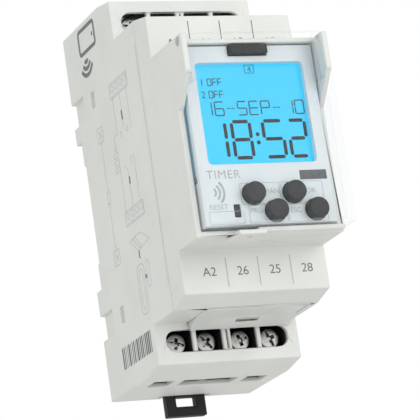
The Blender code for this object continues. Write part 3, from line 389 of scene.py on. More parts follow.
housingPlastic = makeHousingPlastic()
clearPlastic = makeClearPlastic()
displayFace = makeDisplayFace()
panelPlastic = plastic("panelPlastic", (0.66, 0.72, 0.74), (0.63, 0.69, 0.72), 0.38, bump=0.12)
blackPlastic = plastic("blackPlastic", (0.008, 0.008, 0.008), (0.014, 0.014, 0.014), 0.5,
                       Specular_IOR_Level=0.25)
keyRubber = plastic("keyRubber", (0.018, 0.018, 0.019), (0.028, 0.028, 0.029), 0.6, grainScale=7000.0,
                    Specular_IOR_Level=0.35)
resetRubber = plastic("resetRubber", (0.030, 0.024, 0.023), (0.042, 0.036, 0.035), 0.6,
                      Specular_IOR_Level=0.35)
whitePlastic = plastic("whitePlastic", (0.80, 0.80, 0.79), (0.76, 0.76, 0.75), 0.5)
lightGuide = plastic("lightGuide", (0.75, 0.90, 0.97), (0.70, 0.86, 0.94), 0.16, bump=0.4, grainScale=2600.0)
contactRubber = plastic("contactRubber", (0.22, 0.22, 0.225), (0.27, 0.27, 0.275), 0.7)
relayCase = plastic("relayCase", (0.035, 0.10, 0.33), (0.05, 0.13, 0.38), 0.32, bump=0.15)
capacitorSleeve = plastic("capacitorSleeve", (0.022, 0.022, 0.04), (0.035, 0.035, 0.055), 0.28)
varistorCoating = plastic("varistorCoating", (0.04, 0.13, 0.46), (0.06, 0.17, 0.52), 0.3, bump=0.5,
                          grainScale=1800.0)
filmCase = plastic("filmCase", (0.60, 0.54, 0.33), (0.55, 0.49, 0.29), 0.4)
ferriteCore = plastic("ferriteCore", (0.05, 0.048, 0.046), (0.075, 0.07, 0.068), 0.7, grainScale=3500.0)
screwSteel = makeMetal("screwSteel", (0.34, 0.34, 0.33), (0.14, 0.14, 0.135), 0.27, along=2500.0)
cageSteel = makeMetal("cageSteel", (0.56, 0.56, 0.53), (0.42, 0.42, 0.40), 0.36)
tinnedCopper = makeMetal("tinnedCopper", (0.64, 0.61, 0.56), (0.52, 0.49, 0.44), 0.34)
springSteel = makeMetal("springSteel", (0.50, 0.50, 0.49), (0.36, 0.36, 0.35), 0.28)
cellSteel = makeMetal("cellSteel", (0.66, 0.66, 0.65), (0.52, 0.52, 0.51), 0.22)
boardLaminate = makeBoardLaminate()
windingTape = makeWindingTape()
inkDark = makeInk("inkDark", (0.075, 0.08, 0.085))
inkGrey = makeInk("inkGrey", (0.14, 0.145, 0.145))
inkPanel = makeInk("inkPanel", (0.33, 0.36, 0.37))
inkPale = makeInk("inkPale", (0.38, 0.40, 0.39))
inkDisplay = makeInk("inkDisplay", (0.016, 0.018, 0.022), 0.8)
inkDisplayFine = makeInk("inkDisplayFine", (0.022, 0.075, 0.10), 0.8)
print("finishes made")


# Camera, lights and floor.

cameraSetup = {"aim": (0.68, -28.26, -7.47), "distance": 688.87, "heading": 23.704, "rise": 14.022,
               "roll": 8.341, "lens": 254.54}


def placeCamera(setup):
    # The lens looks up at the object from its lower left, with the picture turned a little.
    camera = bpy.data.cameras.new("camera")
    camera.lens = setup["lens"]
    camera.clip_end = 20.0
    holder = linked("camera", camera)
    heading, rise = math.radians(setup["heading"]), math.radians(setup["rise"])
    forward = Vector((math.sin(heading) * math.cos(rise), math.cos(heading) * math.cos(rise), math.sin(rise)))
    holder.location = Vector(setup["aim"]) * mm - forward * setup["distance"] * mm
    level = forward.to_track_quat("-Z", "Y")
    turn = Matrix.Rotation(math.radians(-setup["roll"]), 4, "Z")
    holder.rotation_euler = (level.to_matrix().to_4x4() @ turn).to_euler()
    bpy.context.scene.camera = holder


lightSetup = [
    {"name": "softboxRight", "at": (0.7, -1.15, 0.3), "size": 0.9, "watts": 6.3},
    {"name": "softboxTop", "at": (-0.15, -0.35, 1.1), "size": 0.9, "watts": 2.5},
    {"name": "softboxLeft", "at": (-1.1, -0.5, 0.15), "size": 0.8, "watts": 2.4},
]


def placeLights(setups):
    for setup in setups:
        light = bpy.data.lights.new(setup["name"], "AREA")
        light.shape = "SQUARE"
        light.size = setup["size"]
        light.energy = setup["watts"]
        holder = linked(setup["name"], light)
        holder.location = setup["at"]
        aim = Vector((0, -0.03, 0)) - holder.location
        holder.rotation_euler = aim.to_track_quat("-Z", "Y").to_euler()


def makeStudio():
    # White surroundings, and a pale floor well below the device, which hangs on its rail.
    world = bpy.data.worlds.new("studio")
    world.use_nodes = True
    light = (0.70, 1.0)                          # on the object, and as the camera sees it
    tree = world.node_tree
    backdrop = tree.nodes["Background"]
    seen = addNode(tree, "ShaderNodeLightPath")
    strength = mapRange(tree, seen.outputs["Is Camera Ray"], 0.0, 1.0, *light)
    backdrop.inputs["Color"].default_value = (1.0, 1.0, 1.0, 1.0)
    feed(tree, backdrop.inputs["Strength"], strength)
    bpy.context.scene.world = world
    floorPlan = {"z": -0.24, "half": 4.0}
    bm = bmesh.new()
    corners = [(-1, -1), (1, -1), (1, 1), (-1, 1)]
    half, z = floorPlan["half"], floorPlan["z"]
    bm.faces.new([bm.verts.new((x * half, y * half, z)) for x, y in corners])
    mesh = bpy.data.meshes.new("floor")
    bm.to_mesh(mesh)
    bm.free()
    floor = linked("floor", mesh)
    paint, tree, shader = grainedPlastic("floorPaint", (0.86, 0.86, 0.85), (0.84, 0.84, 0.83), 0.6,
                                         grainScale=400.0, mottleScale=3.0)[:3]
    underside = addNode(tree, "ShaderNodeNewGeometry").outputs["Backfacing"]   # clear when seen from below
    feed(tree, shader.inputs["Alpha"], mathNode(tree, "SUBTRACT", 1.0, underside))
    mesh.materials.append(paint)


placeCamera(cameraSetup)
placeLights(lightSetup)
makeStudio()
print("camera, lights and floor placed")


# Moulded and stamped parts: node, then piece name, slot, finish and edge rounding in millimetres.

mouldings = {
    "rear_housing": ("rearHousing", "housing", housingPlastic, 0.30),
    "front_housing": ("frontHousing", "housing", housingPlastic, 0.30),
    "front_panel": ("frontPanel", "panel", panelPlastic, 0.12),
    "rail_clip": ("railClip", "black", blackPlastic, 0.25),
    "battery_tray": ("batteryTray", "black", blackPlastic, 0.12),
    "reset_button": ("resetPusher", "button", resetRubber, 0.15),
    "clear_cover": ("clearCover", "clear", clearPlastic, 0.28),
    "lcd_frame": ("displayFrame", "white", whitePlastic, 0.12),
    "lcd_glass": ("displayGlass", "display", displayFace, 0.08),
    "lcd_backlight": ("lightGuidePlate", "light_guide", lightGuide, 0.15),
    "contact_strip": ("contactStrip", "contact_rubber", contactRubber, 0.12),
    "display_board": ("displayBoard", "board", boardLaminate, 0.08),
    "link_board": ("linkBoard", "board", boardLaminate, 0.08),
    "power_board": ("powerBoard", "board", boardLaminate, 0.08),
    "relay_left": ("relayLeft", "relay", relayCase, 0.5),
    "relay_right": ("relayRight", "relay", relayCase, 0.5),
    "film_capacitor": ("filmCapacitor", "film", filmCase, 0.4),
    "varistor": ("varistorDisc", "varistor", varistorCoating, 0.5),
}

for nodeName, (pieceName, slotName, finish, edge) in mouldings.items():
    showPiece(pieceName, softCopy(nodeName, edge * mm), bodyOf[nodeName], finish, [nodeName])

switchEdge = 0.15 * mm
for which in ("manual", "ok", "program", "escape", "reset"):
    nodeName = f"switch_{which}"
    mesh = softCopy(nodeName, switchEdge)
    showPiece(f"{which}Switch", mesh, bodyOf[nodeName], blackPlastic, [nodeName])
print("mouldings rounded and finished")


# Rubber keys.

keyShape = {"crown": 0.10 * mm, "edge": 0.42 * mm, "flange": 0.5 * mm, "flangeDepth": 0.6 * mm,
            "stem": 1.2 * mm, "skirtDepth": 4.3 * mm, "rings": (0.35, 0.7), "sides": 56}


def keyMesh(name, radius, front, rear):
    # A slightly crowned cap with a rolled edge, the flange that keeps it in, and its stem.
    cap = radius - keyShape["flange"]
    edge = keyShape["edge"]
    profile = [(0, front)]
    for share in keyShape["rings"]:
        reach = (cap - edge) * share
        profile.append((reach, front + keyShape["crown"] * share * share))
    profile += arcPoints((cap - edge, front + keyShape["crown"] + edge), edge, -90, 0, 6)
    skirt = front + keyShape["skirtDepth"]
    profile += [(cap, skirt), (radius, skirt), (radius, skirt + keyShape["flangeDepth"]),
                (keyShape["stem"], skirt + keyShape["flangeDepth"]), (keyShape["stem"], rear), (0, rear)]
    return turnedMesh(name, profile, keyShape["sides"])


for which in ("manual", "ok", "program", "escape"):
    nodeName = f"button_{which}"
    low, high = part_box(nodeName)
    middle = (low + high) / 2
    mesh = keyMesh(f"{which}Key", (high.x - low.x) / 2, low.y, high.y)
    mesh.transform(Matrix.Translation((middle.x, 0, middle.z)))
    showPiece(f"{which}Key", mesh, bodyOf[nodeName], keyRubber, [nodeName])
print("keys made")


# Coils serve as screw threads and as the clip spring.

def newShapeTree(name, inputs):
    tree = bpy.data.node_groups.new(name, "GeometryNodeTree")
    tree.interface.new_socket("Geometry", in_out="INPUT", socket_type="NodeSocketGeometry")
    for label, kind in inputs + (("Finish", "Material"),):
        tree.interface.new_socket(label, in_out="INPUT", socket_type=f"NodeSocket{kind}")
    tree.interface.new_socket("Geometry", in_out="OUTPUT", socket_type="NodeSocketGeometry")
    return tree, addNode(tree, "NodeGroupInput")


def endShapeTree(tree, given, shape):
    real = addNode(tree, "GeometryNodeRealizeInstances", {"Geometry": shape})
    painted = addNode(tree, "GeometryNodeSetMaterial", {"Geometry": real.outputs["Geometry"],
                                                        "Material": given.outputs["Finish"]})
    addNode(tree, "NodeGroupOutput", {"Geometry": painted.outputs["Geometry"]})
    return tree


def buildCoilTree():
    tree, given = newShapeTree("coilOfWire", (
        ("Turns", "Float"), ("Coil Radius", "Float"), ("Height", "Float"), ("Wire Radius", "Float"),
        ("Points", "Int"), ("Sides", "Int")))
    value = given.outputs
    spiral = addNode(tree, "GeometryNodeCurveSpiral", {
        "Rotations": value["Turns"], "Start Radius": value["Coil Radius"], "End Radius": value["Coil Radius"],
        "Height": value["Height"], "Resolution": value["Points"]})
    wire = addNode(tree, "GeometryNodeCurvePrimitiveCircle", {"Resolution": value["Sides"],
                                                              "Radius": value["Wire Radius"]})
    swept = addNode(tree, "GeometryNodeCurveToMesh", {
        "Curve": spiral.outputs["Curve"], "Profile Curve": wire.outputs["Curve"], "Fill Caps": True})
    return endShapeTree(tree, given, swept.outputs["Mesh"])


def meshFromTree(tree, name, values):
    holder = linked(name, bpy.data.meshes.new(name))
    modifier = holder.modifiers.new(name, "NODES")
    modifier.node_group = tree
    for item in tree.interface.items_tree:
        if item.item_type == "SOCKET" and item.in_out == "INPUT" and item.name in values:
            modifier[item.identifier] = values[item.name]
    return bakedMesh(holder, name)


coilTree = buildCoilTree()

screwShape = {"rim": 0.28 * mm, "headDepth": 1.8 * mm, "core": 1.24 * mm, "wire": 0.15 * mm,
              "pitch": 0.5 * mm,
              "slotLength": 4.1 * mm, "slotWidth": 0.75 * mm, "slotDepth": 0.75 * mm,
              "slotTaper": 0.9, "crossLength": 3.1 * mm, "crossWidth": 0.95 * mm, "crossDepth": 1.15 * mm,
              "crossTaper": 0.55, "tipLength": 0.4 * mm, "tipStep": 0.35 * mm, "edge": 0.09 * mm, "sides": 40,
              "edgeDegrees": 50, "smoothDegrees": 28, "toolAbove": 0.4 * mm}
threadShape = {"gap": 0.5 * mm, "ends": 0.7 * mm, "out": 0.07 * mm, "points": 20, "sides": 6}


def recessTool(length, width, depth, taper):
    # A bar that narrows towards the bottom of the recess.
    bm = bmesh.new()
    loops = []
    for y, share in ((-screwShape["toolAbove"], 1.0), (depth, taper)):
        x, z = length / 2 * share, width / 2 * (share + 1) / 2
        loops.append([bm.verts.new(p) for p in ((-x, y, -z), (x, y, -z), (x, y, z), (-x, y, z))])
    near, far = loops
    bm.faces.new(near)
    bm.faces.new(far)
    for i in range(4):
        bm.faces.new((near[i], near[i - 1], far[i - 1], far[i]))
    return plainMesh("recessTool", bm)


def screwMesh(radius, length):
    # Front face at y = 0: a cheese head with a combination recess, and the core of its thread.
    shape = screwShape
    rim, core, tip = shape["rim"], shape["core"], length - shape["tipLength"]
    profile = [(0, 0), (radius - rim, 0)] + arcPoints((radius - rim, rim), rim, -70, 0, 4)
    profile += [(radius, shape["headDepth"]), (core, shape["headDepth"]), (core, tip),
                (core - shape["tipStep"], length), (0, length)]
    head = linked("screwHead", turnedMesh("screwHead", profile, shape["sides"]))
    tools = []
    for kind, turn in (("slot", 0), ("cross", 0), ("cross", 90)):
        mesh = recessTool(*(shape[f"{kind}{measure}"] for measure in ("Length", "Width", "Depth", "Taper")))
        mesh.transform(Matrix.Rotation(math.radians(turn), 4, "Y"))
        tool = linked("recessTool", mesh)
        tools.append(tool)
        modifier = head.modifiers.new("recess", "BOOLEAN")
        modifier.operation = "DIFFERENCE"
        modifier.solver = "EXACT"
        modifier.object = tool
    mesh = bakedMesh(head, "screwHead")
    for tool in tools:
        bpy.data.objects.remove(tool)
    bm = bmesh.new()
    bm.from_mesh(mesh)
    bmesh.ops.remove_doubles(bm, verts=bm.verts, dist=weldDistance)
    limit, front = math.radians(shape["edgeDegrees"]), 0.01 * mm
    edges = [e for e in bm.edges if len(e.link_faces) == 2 and e.calc_face_angle(0) > limit
             and all(v.co.y < front for v in e.verts)]
    bmesh.ops.bevel(bm, geom=edges, offset=shape["edge"], offset_type="OFFSET", segments=1, affect="EDGES",
                    clamp_overlap=True)
    return plainMesh("screwHead", bm, shape["smoothDegrees"])


def threadMesh(length):
    start = screwShape["headDepth"] + threadShape["gap"]
    run = length - start - threadShape["ends"]
    mesh = meshFromTree(coilTree, "screwThread", {
        "Turns": run / screwShape["pitch"], "Coil Radius": screwShape["core"] + threadShape["out"],
        "Height": run, "Wire Radius": screwShape["wire"], "Points": threadShape["points"],
        "Sides": threadShape["sides"], "Finish": screwSteel})
    mesh.transform(Matrix.Translation((0, start, 0)) @ Matrix.Rotation(math.radians(-90), 4, "X"))
    return mesh


screwTurns = (12, 47, -18, 66)                   # how far each screw happens to stand turned, in degrees
for end in ("top", "bottom"):
    for number, turned in enumerate(screwTurns, start=1):
        nodeName = f"terminal_screw_{end}_{number}"
        low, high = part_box(nodeName)
        middle = (low + high) / 2
        seat = Matrix.Translation((middle.x, low.y, middle.z)) @ Matrix.Rotation(math.radians(turned), 4, "Y")
        if number == 1 and end == "top":
            headMesh = screwMesh((high.x - low.x) / 2, high.y - low.y)
            spiralMesh = threadMesh(high.y - low.y)
        for part, source in (("Screw", headMesh), ("Thread", spiralMesh)):
            mesh = source.copy()
            mesh.transform(seat)
            mesh.shade_smooth()
            mesh.set_sharp_from_angle(angle=math.radians(screwShape["smoothDegrees"]))
            stands = [nodeName] if part == "Screw" else []
            showPiece(f"{end}{part}{number}", mesh, bodyOf[nodeName], screwSteel, stands)
        for kind, label, slotName, finish, edge in (
                ("clamp_cage", "Cage", "cage", cageSteel, 0.18 * mm),
                ("bus_bar", "Bar", "bar", tinnedCopper, 0.12 * mm)):
            nodeName = f"{kind}_{end}_{number}"
            mesh = softCopy(nodeName, edge)
            showPiece(f"{end}{label}{number}", mesh, bodyOf[nodeName], finish, [nodeName])

springShape = {"wire": 0.2 * mm, "turns": 6.0, "points": 28, "sides": 10}
low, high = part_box("clip_spring")
springMesh = meshFromTree(coilTree, "clipSpring", {
    "Turns": springShape["turns"], "Coil Radius": (high.x - low.x) / 2 - springShape["wire"],
    "Height": high.z - low.z - 2 * springShape["wire"], "Wire Radius": springShape["wire"],
    "Points": springShape["points"], "Sides": springShape["sides"], "Finish": springSteel})
springFoot = Vector(((low.x + high.x) / 2, (low.y + high.y) / 2, low.z))
springMesh.transform(Matrix.Translation(springFoot + Vector((0, 0, springShape["wire"]))))
springMesh.shade_smooth()
springBody, springLength = bodyOf["clip_spring"], high.z - low.z
clipSpring = showPiece("clipSpring", springMesh, springBody, springSteel, ["clip_spring"])
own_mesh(clipSpring)
print("terminals and spring made")


# Parts inside that are more than a rounded block.

capacitorShape = {"roll": 0.6 * mm, "sink": 0.25 * mm, "plate": 0.14 * mm, "groove": 0.35 * mm, "sides": 48,
                  "grooveEnds": (3.0 * mm, 2.6 * mm, 2.0 * mm, 1.6 * mm), "rear": 0.3 * mm}


def makeCapacitor():
    # A sleeved can with a rolled top and a groove near its foot, and a bare aluminium plate in the top.
    node, shape = "smoothing_capacitor", capacitorShape
    low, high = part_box(node)
    radius, middle, roll = (high.x - low.x) / 2, (low + high) / 2, shape["roll"]
    place = Matrix.Translation((middle.x, 0, middle.z))
    sunk = low.y + shape["sink"]
    ends = [high.y - depth for depth in shape["grooveEnds"]]
    profile = [(0, sunk), (radius * 0.72, sunk), (radius * 0.78, low.y)]
    profile += arcPoints((radius - roll, low.y + roll), roll, -90, 0, 5)
    profile += [(radius, ends[0]), (radius - shape["groove"], ends[1]), (radius - shape["groove"], ends[2]),
                (radius, ends[3]), (radius, high.y - shape["rear"]), (radius - shape["rear"], high.y),
                (0, high.y)]
    mesh = turnedMesh("capacitorCan", profile, shape["sides"])
    mesh.transform(place)
    showPiece("capacitorCan", mesh, bodyOf[node], capacitorSleeve, [node])
    near, far, reach = low.y + shape["plate"], sunk - 0.01 * mm, radius * 0.7
    plate = turnedMesh("capacitorEnd", [(0, near), (reach, near), (reach, far), (0, far)], 32)
    plate.transform(place)
    showPiece("capacitorEnd", plate, bodyOf[node], cellSteel)


cellShape = {"cap": 0.80, "capFoot": 0.84, "step": 0.14 * mm, "land": 0.16 * mm, "roll": 0.3 * mm,
             "rear": 0.2 * mm, "sides": 56}


def makeCell():
    # A coin cell: the raised cap, the sealing groove round it and the rolled edge of the can.
    low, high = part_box("button_cell")
    radius, middle, depth = (high.x - low.x) / 2, (low + high) / 2, high.z - low.z
    shape, roll, rear = cellShape, cellShape["roll"], cellShape["rear"]
    profile = [(0, 0), (radius * shape["cap"], 0), (radius * shape["capFoot"], shape["step"]),
               (radius - roll, shape["land"])]
    profile += arcPoints((radius - roll, shape["land"] + roll), roll, -90, 0, 4)
    profile += [(radius, depth - rear), (radius - rear, depth), (0, depth)]
    mesh = turnedMesh("cellCan", profile, shape["sides"])
    seat = Matrix.Translation((middle.x, middle.y, high.z))
    mesh.transform(seat @ Matrix.Rotation(math.radians(-90), 4, "X"))
    showPiece("cellCan", mesh, bodyOf["button_cell"], cellSteel, ["button_cell"])


def boxMesh(name, low, high, edge):
    bm = bmesh.new()
    bmesh.ops.create_cube(bm, size=1.0)
    size, middle = high - low, (low + high) / 2
    bmesh.ops.transform(bm, matrix=Matrix.LocRotScale(middle, None, size), verts=bm.verts)
    bmesh.ops.bevel(bm, geom=bm.edges[:], offset=edge, offset_type="OFFSET", segments=2, profile=0.5,
                    affect="EDGES", clamp_overlap=True)
    return plainMesh(name, bm)


transformerShape = {"coreShare": 0.25, "inset": 0.9 * mm, "gap": 0.05 * mm, "windingEdge": 0.9 * mm,
                    "coreEdge": 0.3 * mm}


def makeTransformer():
    # A taped winding between the two halves of a ferrite core.
    node, shape = "supply_transformer", transformerShape
    low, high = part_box(node)
    depth = (high.z - low.z) * shape["coreShare"]
    lower, upper, inset = low.z + depth, high.z - depth, shape["inset"]
    winding = boxMesh("transformerWinding", Vector((low.x, low.y, lower)), Vector((high.x, high.y, upper)),
                      shape["windingEdge"])
    showPiece("transformerWinding", winding, bodyOf[node], windingTape, [node])
    for name, bottom, top in (("coreLower", low.z, lower - shape["gap"]),
                              ("coreUpper", upper + shape["gap"], high.z)):
        core = boxMesh(name, Vector((low.x + inset, low.y + inset, bottom)),
                       Vector((high.x - inset, high.y, top)), shape["coreEdge"])
        showPiece(name, core, bodyOf[node], ferriteCore)


makeCapacitor()
makeCell()
makeTransformer()
print("inner parts made")


# Flat prints: outlines are drawn in two axes, in millimetres, then laid on a face.

sharpestMitre = 0.4                              # keeps the outside of a tight corner from running out


def strokeShapes(points, width, closed=False):
    # A line of even width through the points, as a strip of four-sided shapes.
    line = [Vector(p) for p in points]
    count = len(line)
    sides = []
    for i, point in enumerate(line):
        before = line[i - 1] if i > 0 or closed else None
        after = line[(i + 1) % count] if i < count - 1 or closed else None
        ends = ((before, point), (point, after))
        steps = [(b - a).normalized() for a, b in ends if a is not None and b is not None]
        along = (steps[0] + steps[-1]).normalized()
        across = Vector((-along.y, along.x))
        mitre = abs(across.dot(Vector((-steps[0].y, steps[0].x))))
        reach = width / 2 / max(sharpestMitre, mitre)
        sides.append((point + across * reach, point - across * reach))
    spans = range(count if closed else count - 1)
    return [(sides[i][1], sides[(i + 1) % count][1], sides[(i + 1) % count][0], sides[i][0]) for i in spans]


def boxShape(left, bottom, right, top):
    return [(left, bottom), (right, bottom), (right, top), (left, top)]


def frameShapes(left, bottom, right, top, width, radius=0.3):
    corners = (((right - radius, top - radius), 0), ((left + radius, top - radius), 90),
               ((left + radius, bottom + radius), 180), ((right - radius, bottom + radius), 270))
    points = []
    for centre, start in corners:
        points += arcPoints(centre, radius, start, start + 90, 4)
    return strokeShapes(points, width, closed=True)


def wordShapes(words, height, x, y, align="CENTER", spacing=1.0):
    # Lettering of a given cap height. x is its middle or left end, y the middle of its capitals.
    curve = bpy.data.curves.new("words", "FONT")
    curve.body = words
    curve.align_x = align
    curve.space_character = spacing
    curve.size = 1.0
    mesh = bakedMesh(linked("words", curve), "words")
    bpy.data.curves.remove(curve)
    tall = max(v.co.y for v in mesh.vertices)
    scale = height / tall
    shapes = [[(x + mesh.vertices[i].co.x * scale, y - height / 2 + mesh.vertices[i].co.y * scale)
               for i in polygon.vertices] for polygon in mesh.polygons]
    bpy.data.meshes.remove(mesh)
    return shapes


segmentLetters = {"0": "abcdef", "1": "bc", "2": "abged", "5": "afgcd", "6": "afgedc", "8": "abcdefg",
                  "S": "afgcd", "E": "afged", "P": "abfge", "O": "abcdef", "F": "afge"}
segmentEnd = {"point": 0.35, "blunt": 0.45}      # a bar's end: its length and width, in bar widths


def segmentShapes(letter, left, bottom, width, height, thick, gap):
    # Seven bars with pointed ends, as a display shows a character.
    right, top, middle = left + width, bottom + height, bottom + height / 2
    ends = {"a": ((left, top), (right, top)), "g": ((left, middle), (right, middle)),
            "d": ((left, bottom), (right, bottom)), "f": ((left, middle), (left, top)),
            "b": ((right, middle), (right, top)), "e": ((left, bottom), (left, middle)),
            "c": ((right, bottom), (right, middle))}
    shapes = []
    for bar in segmentLetters[letter]:
        start, end = (Vector(p) for p in ends[bar])
        along = (end - start).normalized()
        across = Vector((-along.y, along.x)) * thick / 2
        start, end = start + along * gap, end - along * gap
        point, blunt = along * thick * segmentEnd["point"], across * segmentEnd["blunt"]
        inner, outer = start + point, end - point
        shapes.append([start - blunt, inner - across, outer - across, end - blunt,
                       end + blunt, outer + across, inner + across, start + blunt])
    return shapes


faces = {
    "front": (Vector((1, 0, 0)), Vector((0, 0, 1))),
    "left": (Vector((0, -1, 0)), Vector((0, 0, 1))),
}


def layPrint(name, shapes, face, height, body, ink):
    # shapes are in millimetres; height is where the face lies along its own axis.
    across, up = faces[face]
    outward = across.cross(up)
    bm = bmesh.new()
    base = outward * (abs(height) + inkLift)
    for shape in shapes:
        bm.faces.new([bm.verts.new(base + across * p[0] * mm + up * p[1] * mm) for p in shape])
    mesh = bpy.data.meshes.new(name)
    bm.normal_update()
    for polygon in bm.faces:
        if polygon.normal.dot(outward) < 0:
            polygon.normal_flip()
    bm.to_mesh(mesh)
    bm.free()
    return showPiece(name, mesh, body, ink)


displayMarks = {
    "shift": (0.78, 0.49),
    "time": {"bottom": -5.2, "height": 8.4, "thick": 0.82, "gap": 0.3,
             "digits": (("1", -9.6, 1.6), ("8", -6.35, 4.35), ("5", 1.2, 4.75), ("2", 7.45, 4.0))},
    "colon": {"x": -0.35, "z": (0.15, -1.75), "radius": 0.48},
    "date": {"bottom": 4.75, "height": 3.15, "thick": 0.30, "gap": 0.05, "width": 2.1,
             "signs": (("1", -12.6), ("6", -9.75), ("S", -4.2), ("E", -1.35), ("P", 1.45), ("1", 7.15),
                       ("0", 9.85))},
    "dash": {"lefts": (-6.9, -5.8, 4.35, 5.4), "width": 0.75, "half": 0.13},
    "state": {"height": 1.6, "thick": 0.24, "gap": 0.02, "width": 0.9, "numberX": -12.0, "left": -10.65,
              "pitch": 1.25, "rows": (("1", 11.75), ("2", 8.85))},
    "day": {"sign": "4", "height": 1.35, "at": (-0.05, 15.45), "box": (-1.2, 14.5, 1.05, 16.4), "line": 0.16,
            "corner": 0.1},
}


def makeDisplayPrint():
    # What the display shows: two channel states, the weekday, the date and the time.
    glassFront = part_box("lcd_glass")[0].y
    right, up = displayMarks["shift"]
    thick, fine = [], []
    keys = ("time", "colon", "date", "dash", "state", "day")
    time, colon, date, dash, state, day = (displayMarks[key] for key in keys)
    for sign, left, width in time["digits"]:
        thick += segmentShapes(sign, left + right, time["bottom"] + up, width, time["height"], time["thick"],
                               time["gap"])
    for z in colon["z"]:
        thick.append(arcPoints((colon["x"] + right, z + up), colon["radius"], 0, 345, 23))
    for sign, left in date["signs"]:
        fine += segmentShapes(sign, left + right, date["bottom"] + up, date["width"], date["height"],
                              date["thick"], date["gap"])
    dashZ = date["bottom"] + date["height"] / 2 + up
    for left in dash["lefts"]:
        fine.append(boxShape(left + right, dashZ - dash["half"], left + dash["width"] + right,
                             dashZ + dash["half"]))
    for number, z in state["rows"]:
        fine += wordShapes(number, state["height"], state["numberX"] + right, z + state["height"] / 2 + up)
        for index, sign in enumerate("OFF"):
            left = state["left"] + index * state["pitch"] + right
            fine += segmentShapes(sign, left, z + up, state["width"], state["height"], state["thick"],
                                  state["gap"])
    x, z = day["at"]
    fine += wordShapes(day["sign"], day["height"], x + right, z + up)
    left, bottom, far, top = day["box"]
    fine += frameShapes(left + right, bottom + up, far + right, top + up, day["line"], day["corner"])
    layPrint("displayDigits", thick, "front", glassFront, "housing", inkDisplay)
    layPrint("displayText", fine, "front", glassFront, "housing", inkDisplayFine)


panelMarks = {
    "title": {"word": "TIMER", "height": 1.9, "at": (-14.2, -8.9), "spacing": 1.1},
    "arcs": {"centre": (-13.6, -13.0), "radii": (1.1, 2.1, 3.1), "line": 0.5},
    "reset": {"word": "RESET", "height": 1.15, "at": (-14.6, -16.3), "spacing": 1.05},
    "captions": (("MAN", 0.95, -13.1), ("OK", 10.55, -13.2), ("PRG", -3.4, -17.4), ("ESC", 6.1, -17.6)),
    "boxes": ((-6.6, -15.9, 2.9, -11.1), (3.3, -15.9, 13.4, -11.1), (-5.2, -20.3, 3.9, -16.2),
              (4.3, -20.3, 13.8, -16.2), (-14.8, -20.3, -6.5, -17.4)),
    "boxLine": 0.12,
    "field": (8.3, -10.7, 14.9, -8.5),
}


def makePanelPrint():
    # Captions beside the keys, thin boxes round them, three radio arcs and a plain dark field.
    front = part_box("front_panel")[0].y
    title, arcs, reset = panelMarks["title"], panelMarks["arcs"], panelMarks["reset"]
    symbols = wordShapes(title["word"], title["height"], *title["at"], "LEFT", title["spacing"])
    for radius in arcs["radii"]:
        symbols += strokeShapes(arcPoints(arcs["centre"], radius, -48, 48, 12), arcs["line"])
    captions = wordShapes(reset["word"], reset["height"], *reset["at"], "LEFT", reset["spacing"])
    for caption, x, z in panelMarks["captions"]:
        captions += wordShapes(caption, reset["height"], x, z)
    for box in panelMarks["boxes"]:
        captions += frameShapes(*box, panelMarks["boxLine"])
    layPrint("panelSymbols", symbols, "front", front, "housing", inkPanel)
    layPrint("panelCaptions", captions, "front", front, "housing", inkPanel)
    layPrint("panelField", [boxShape(*panelMarks["field"])], "front", front, "housing", inkDark)


labelMarks = {
    "face": -49.9 * mm, "height": 2.0, "tickHalf": (0.1, 3.4),
    "lower": {"wordZ": -27.6, "tickZ": -27.9, "ticks": (-6.9, 0.9, 8.85), "ink": inkPale,
              "words": (("A2", -11.1), ("26", -3.0), ("25", 4.9), ("28", 12.8))},
    "upper": {"wordZ": 26.2, "tickZ": 28.0, "ticks": (-7.6, 0.2, 8.25), "ink": inkDark,
              "words": (("A1", -11.7), ("16", -3.7), ("15", 4.2), ("18", 12.3))},
}


def makeTerminalPrint():
    # Terminal numbers on the two label faces, with a tick between neighbours.
    labelFace, (halfWide, halfTall) = labelMarks["face"], labelMarks["tickHalf"]
    for name in ("lower", "upper"):
        row = labelMarks[name]
        numbers = []
        for word, x in row["words"]:
            numbers += wordShapes(word, labelMarks["height"], x, row["wordZ"])
        layPrint(f"{name}TerminalNumbers", numbers, "front", labelFace, "housing", inkGrey)
        z = row["tickZ"]
        lines = [boxShape(x - halfWide, z - halfTall, x + halfWide, z + halfTall) for x in row["ticks"]]
        layPrint(f"{name}TerminalTicks", lines, "front", labelFace, "housing", row["ink"])


def buildStripeTree():
    tree, given = newShapeTree("codeStripes", (
        ("Count", "Int"), ("Pitch", "Float"), ("Height", "Float"), ("Thin", "Float"), ("Thick", "Float"),
        ("Seed", "Int")))
    value = given.outputs
    step = addNode(tree, "ShaderNodeCombineXYZ", {"X": value["Pitch"]})
    row = addNode(tree, "GeometryNodeMeshLine", {"Count": value["Count"], "Offset": step.outputs["Vector"]})
    bar = addNode(tree, "GeometryNodeMeshGrid", {"Size X": 1.0, "Size Y": 1.0, "Vertices X": 2,
                                                 "Vertices Y": 2})
    width = addNode(tree, "FunctionNodeRandomValue", {2: value["Thin"], 3: value["Thick"],
                                                      "Seed": value["Seed"]}, data_type="FLOAT")
    scale = addNode(tree, "ShaderNodeCombineXYZ", {"X": width.outputs[1], "Y": value["Height"], "Z": 1.0})
    placed = addNode(tree, "GeometryNodeInstanceOnPoints", {
        "Points": row.outputs["Mesh"], "Instance": bar.outputs["Mesh"], "Scale": scale.outputs["Vector"]})
    return endShapeTree(tree, given, placed.outputs["Instances"])


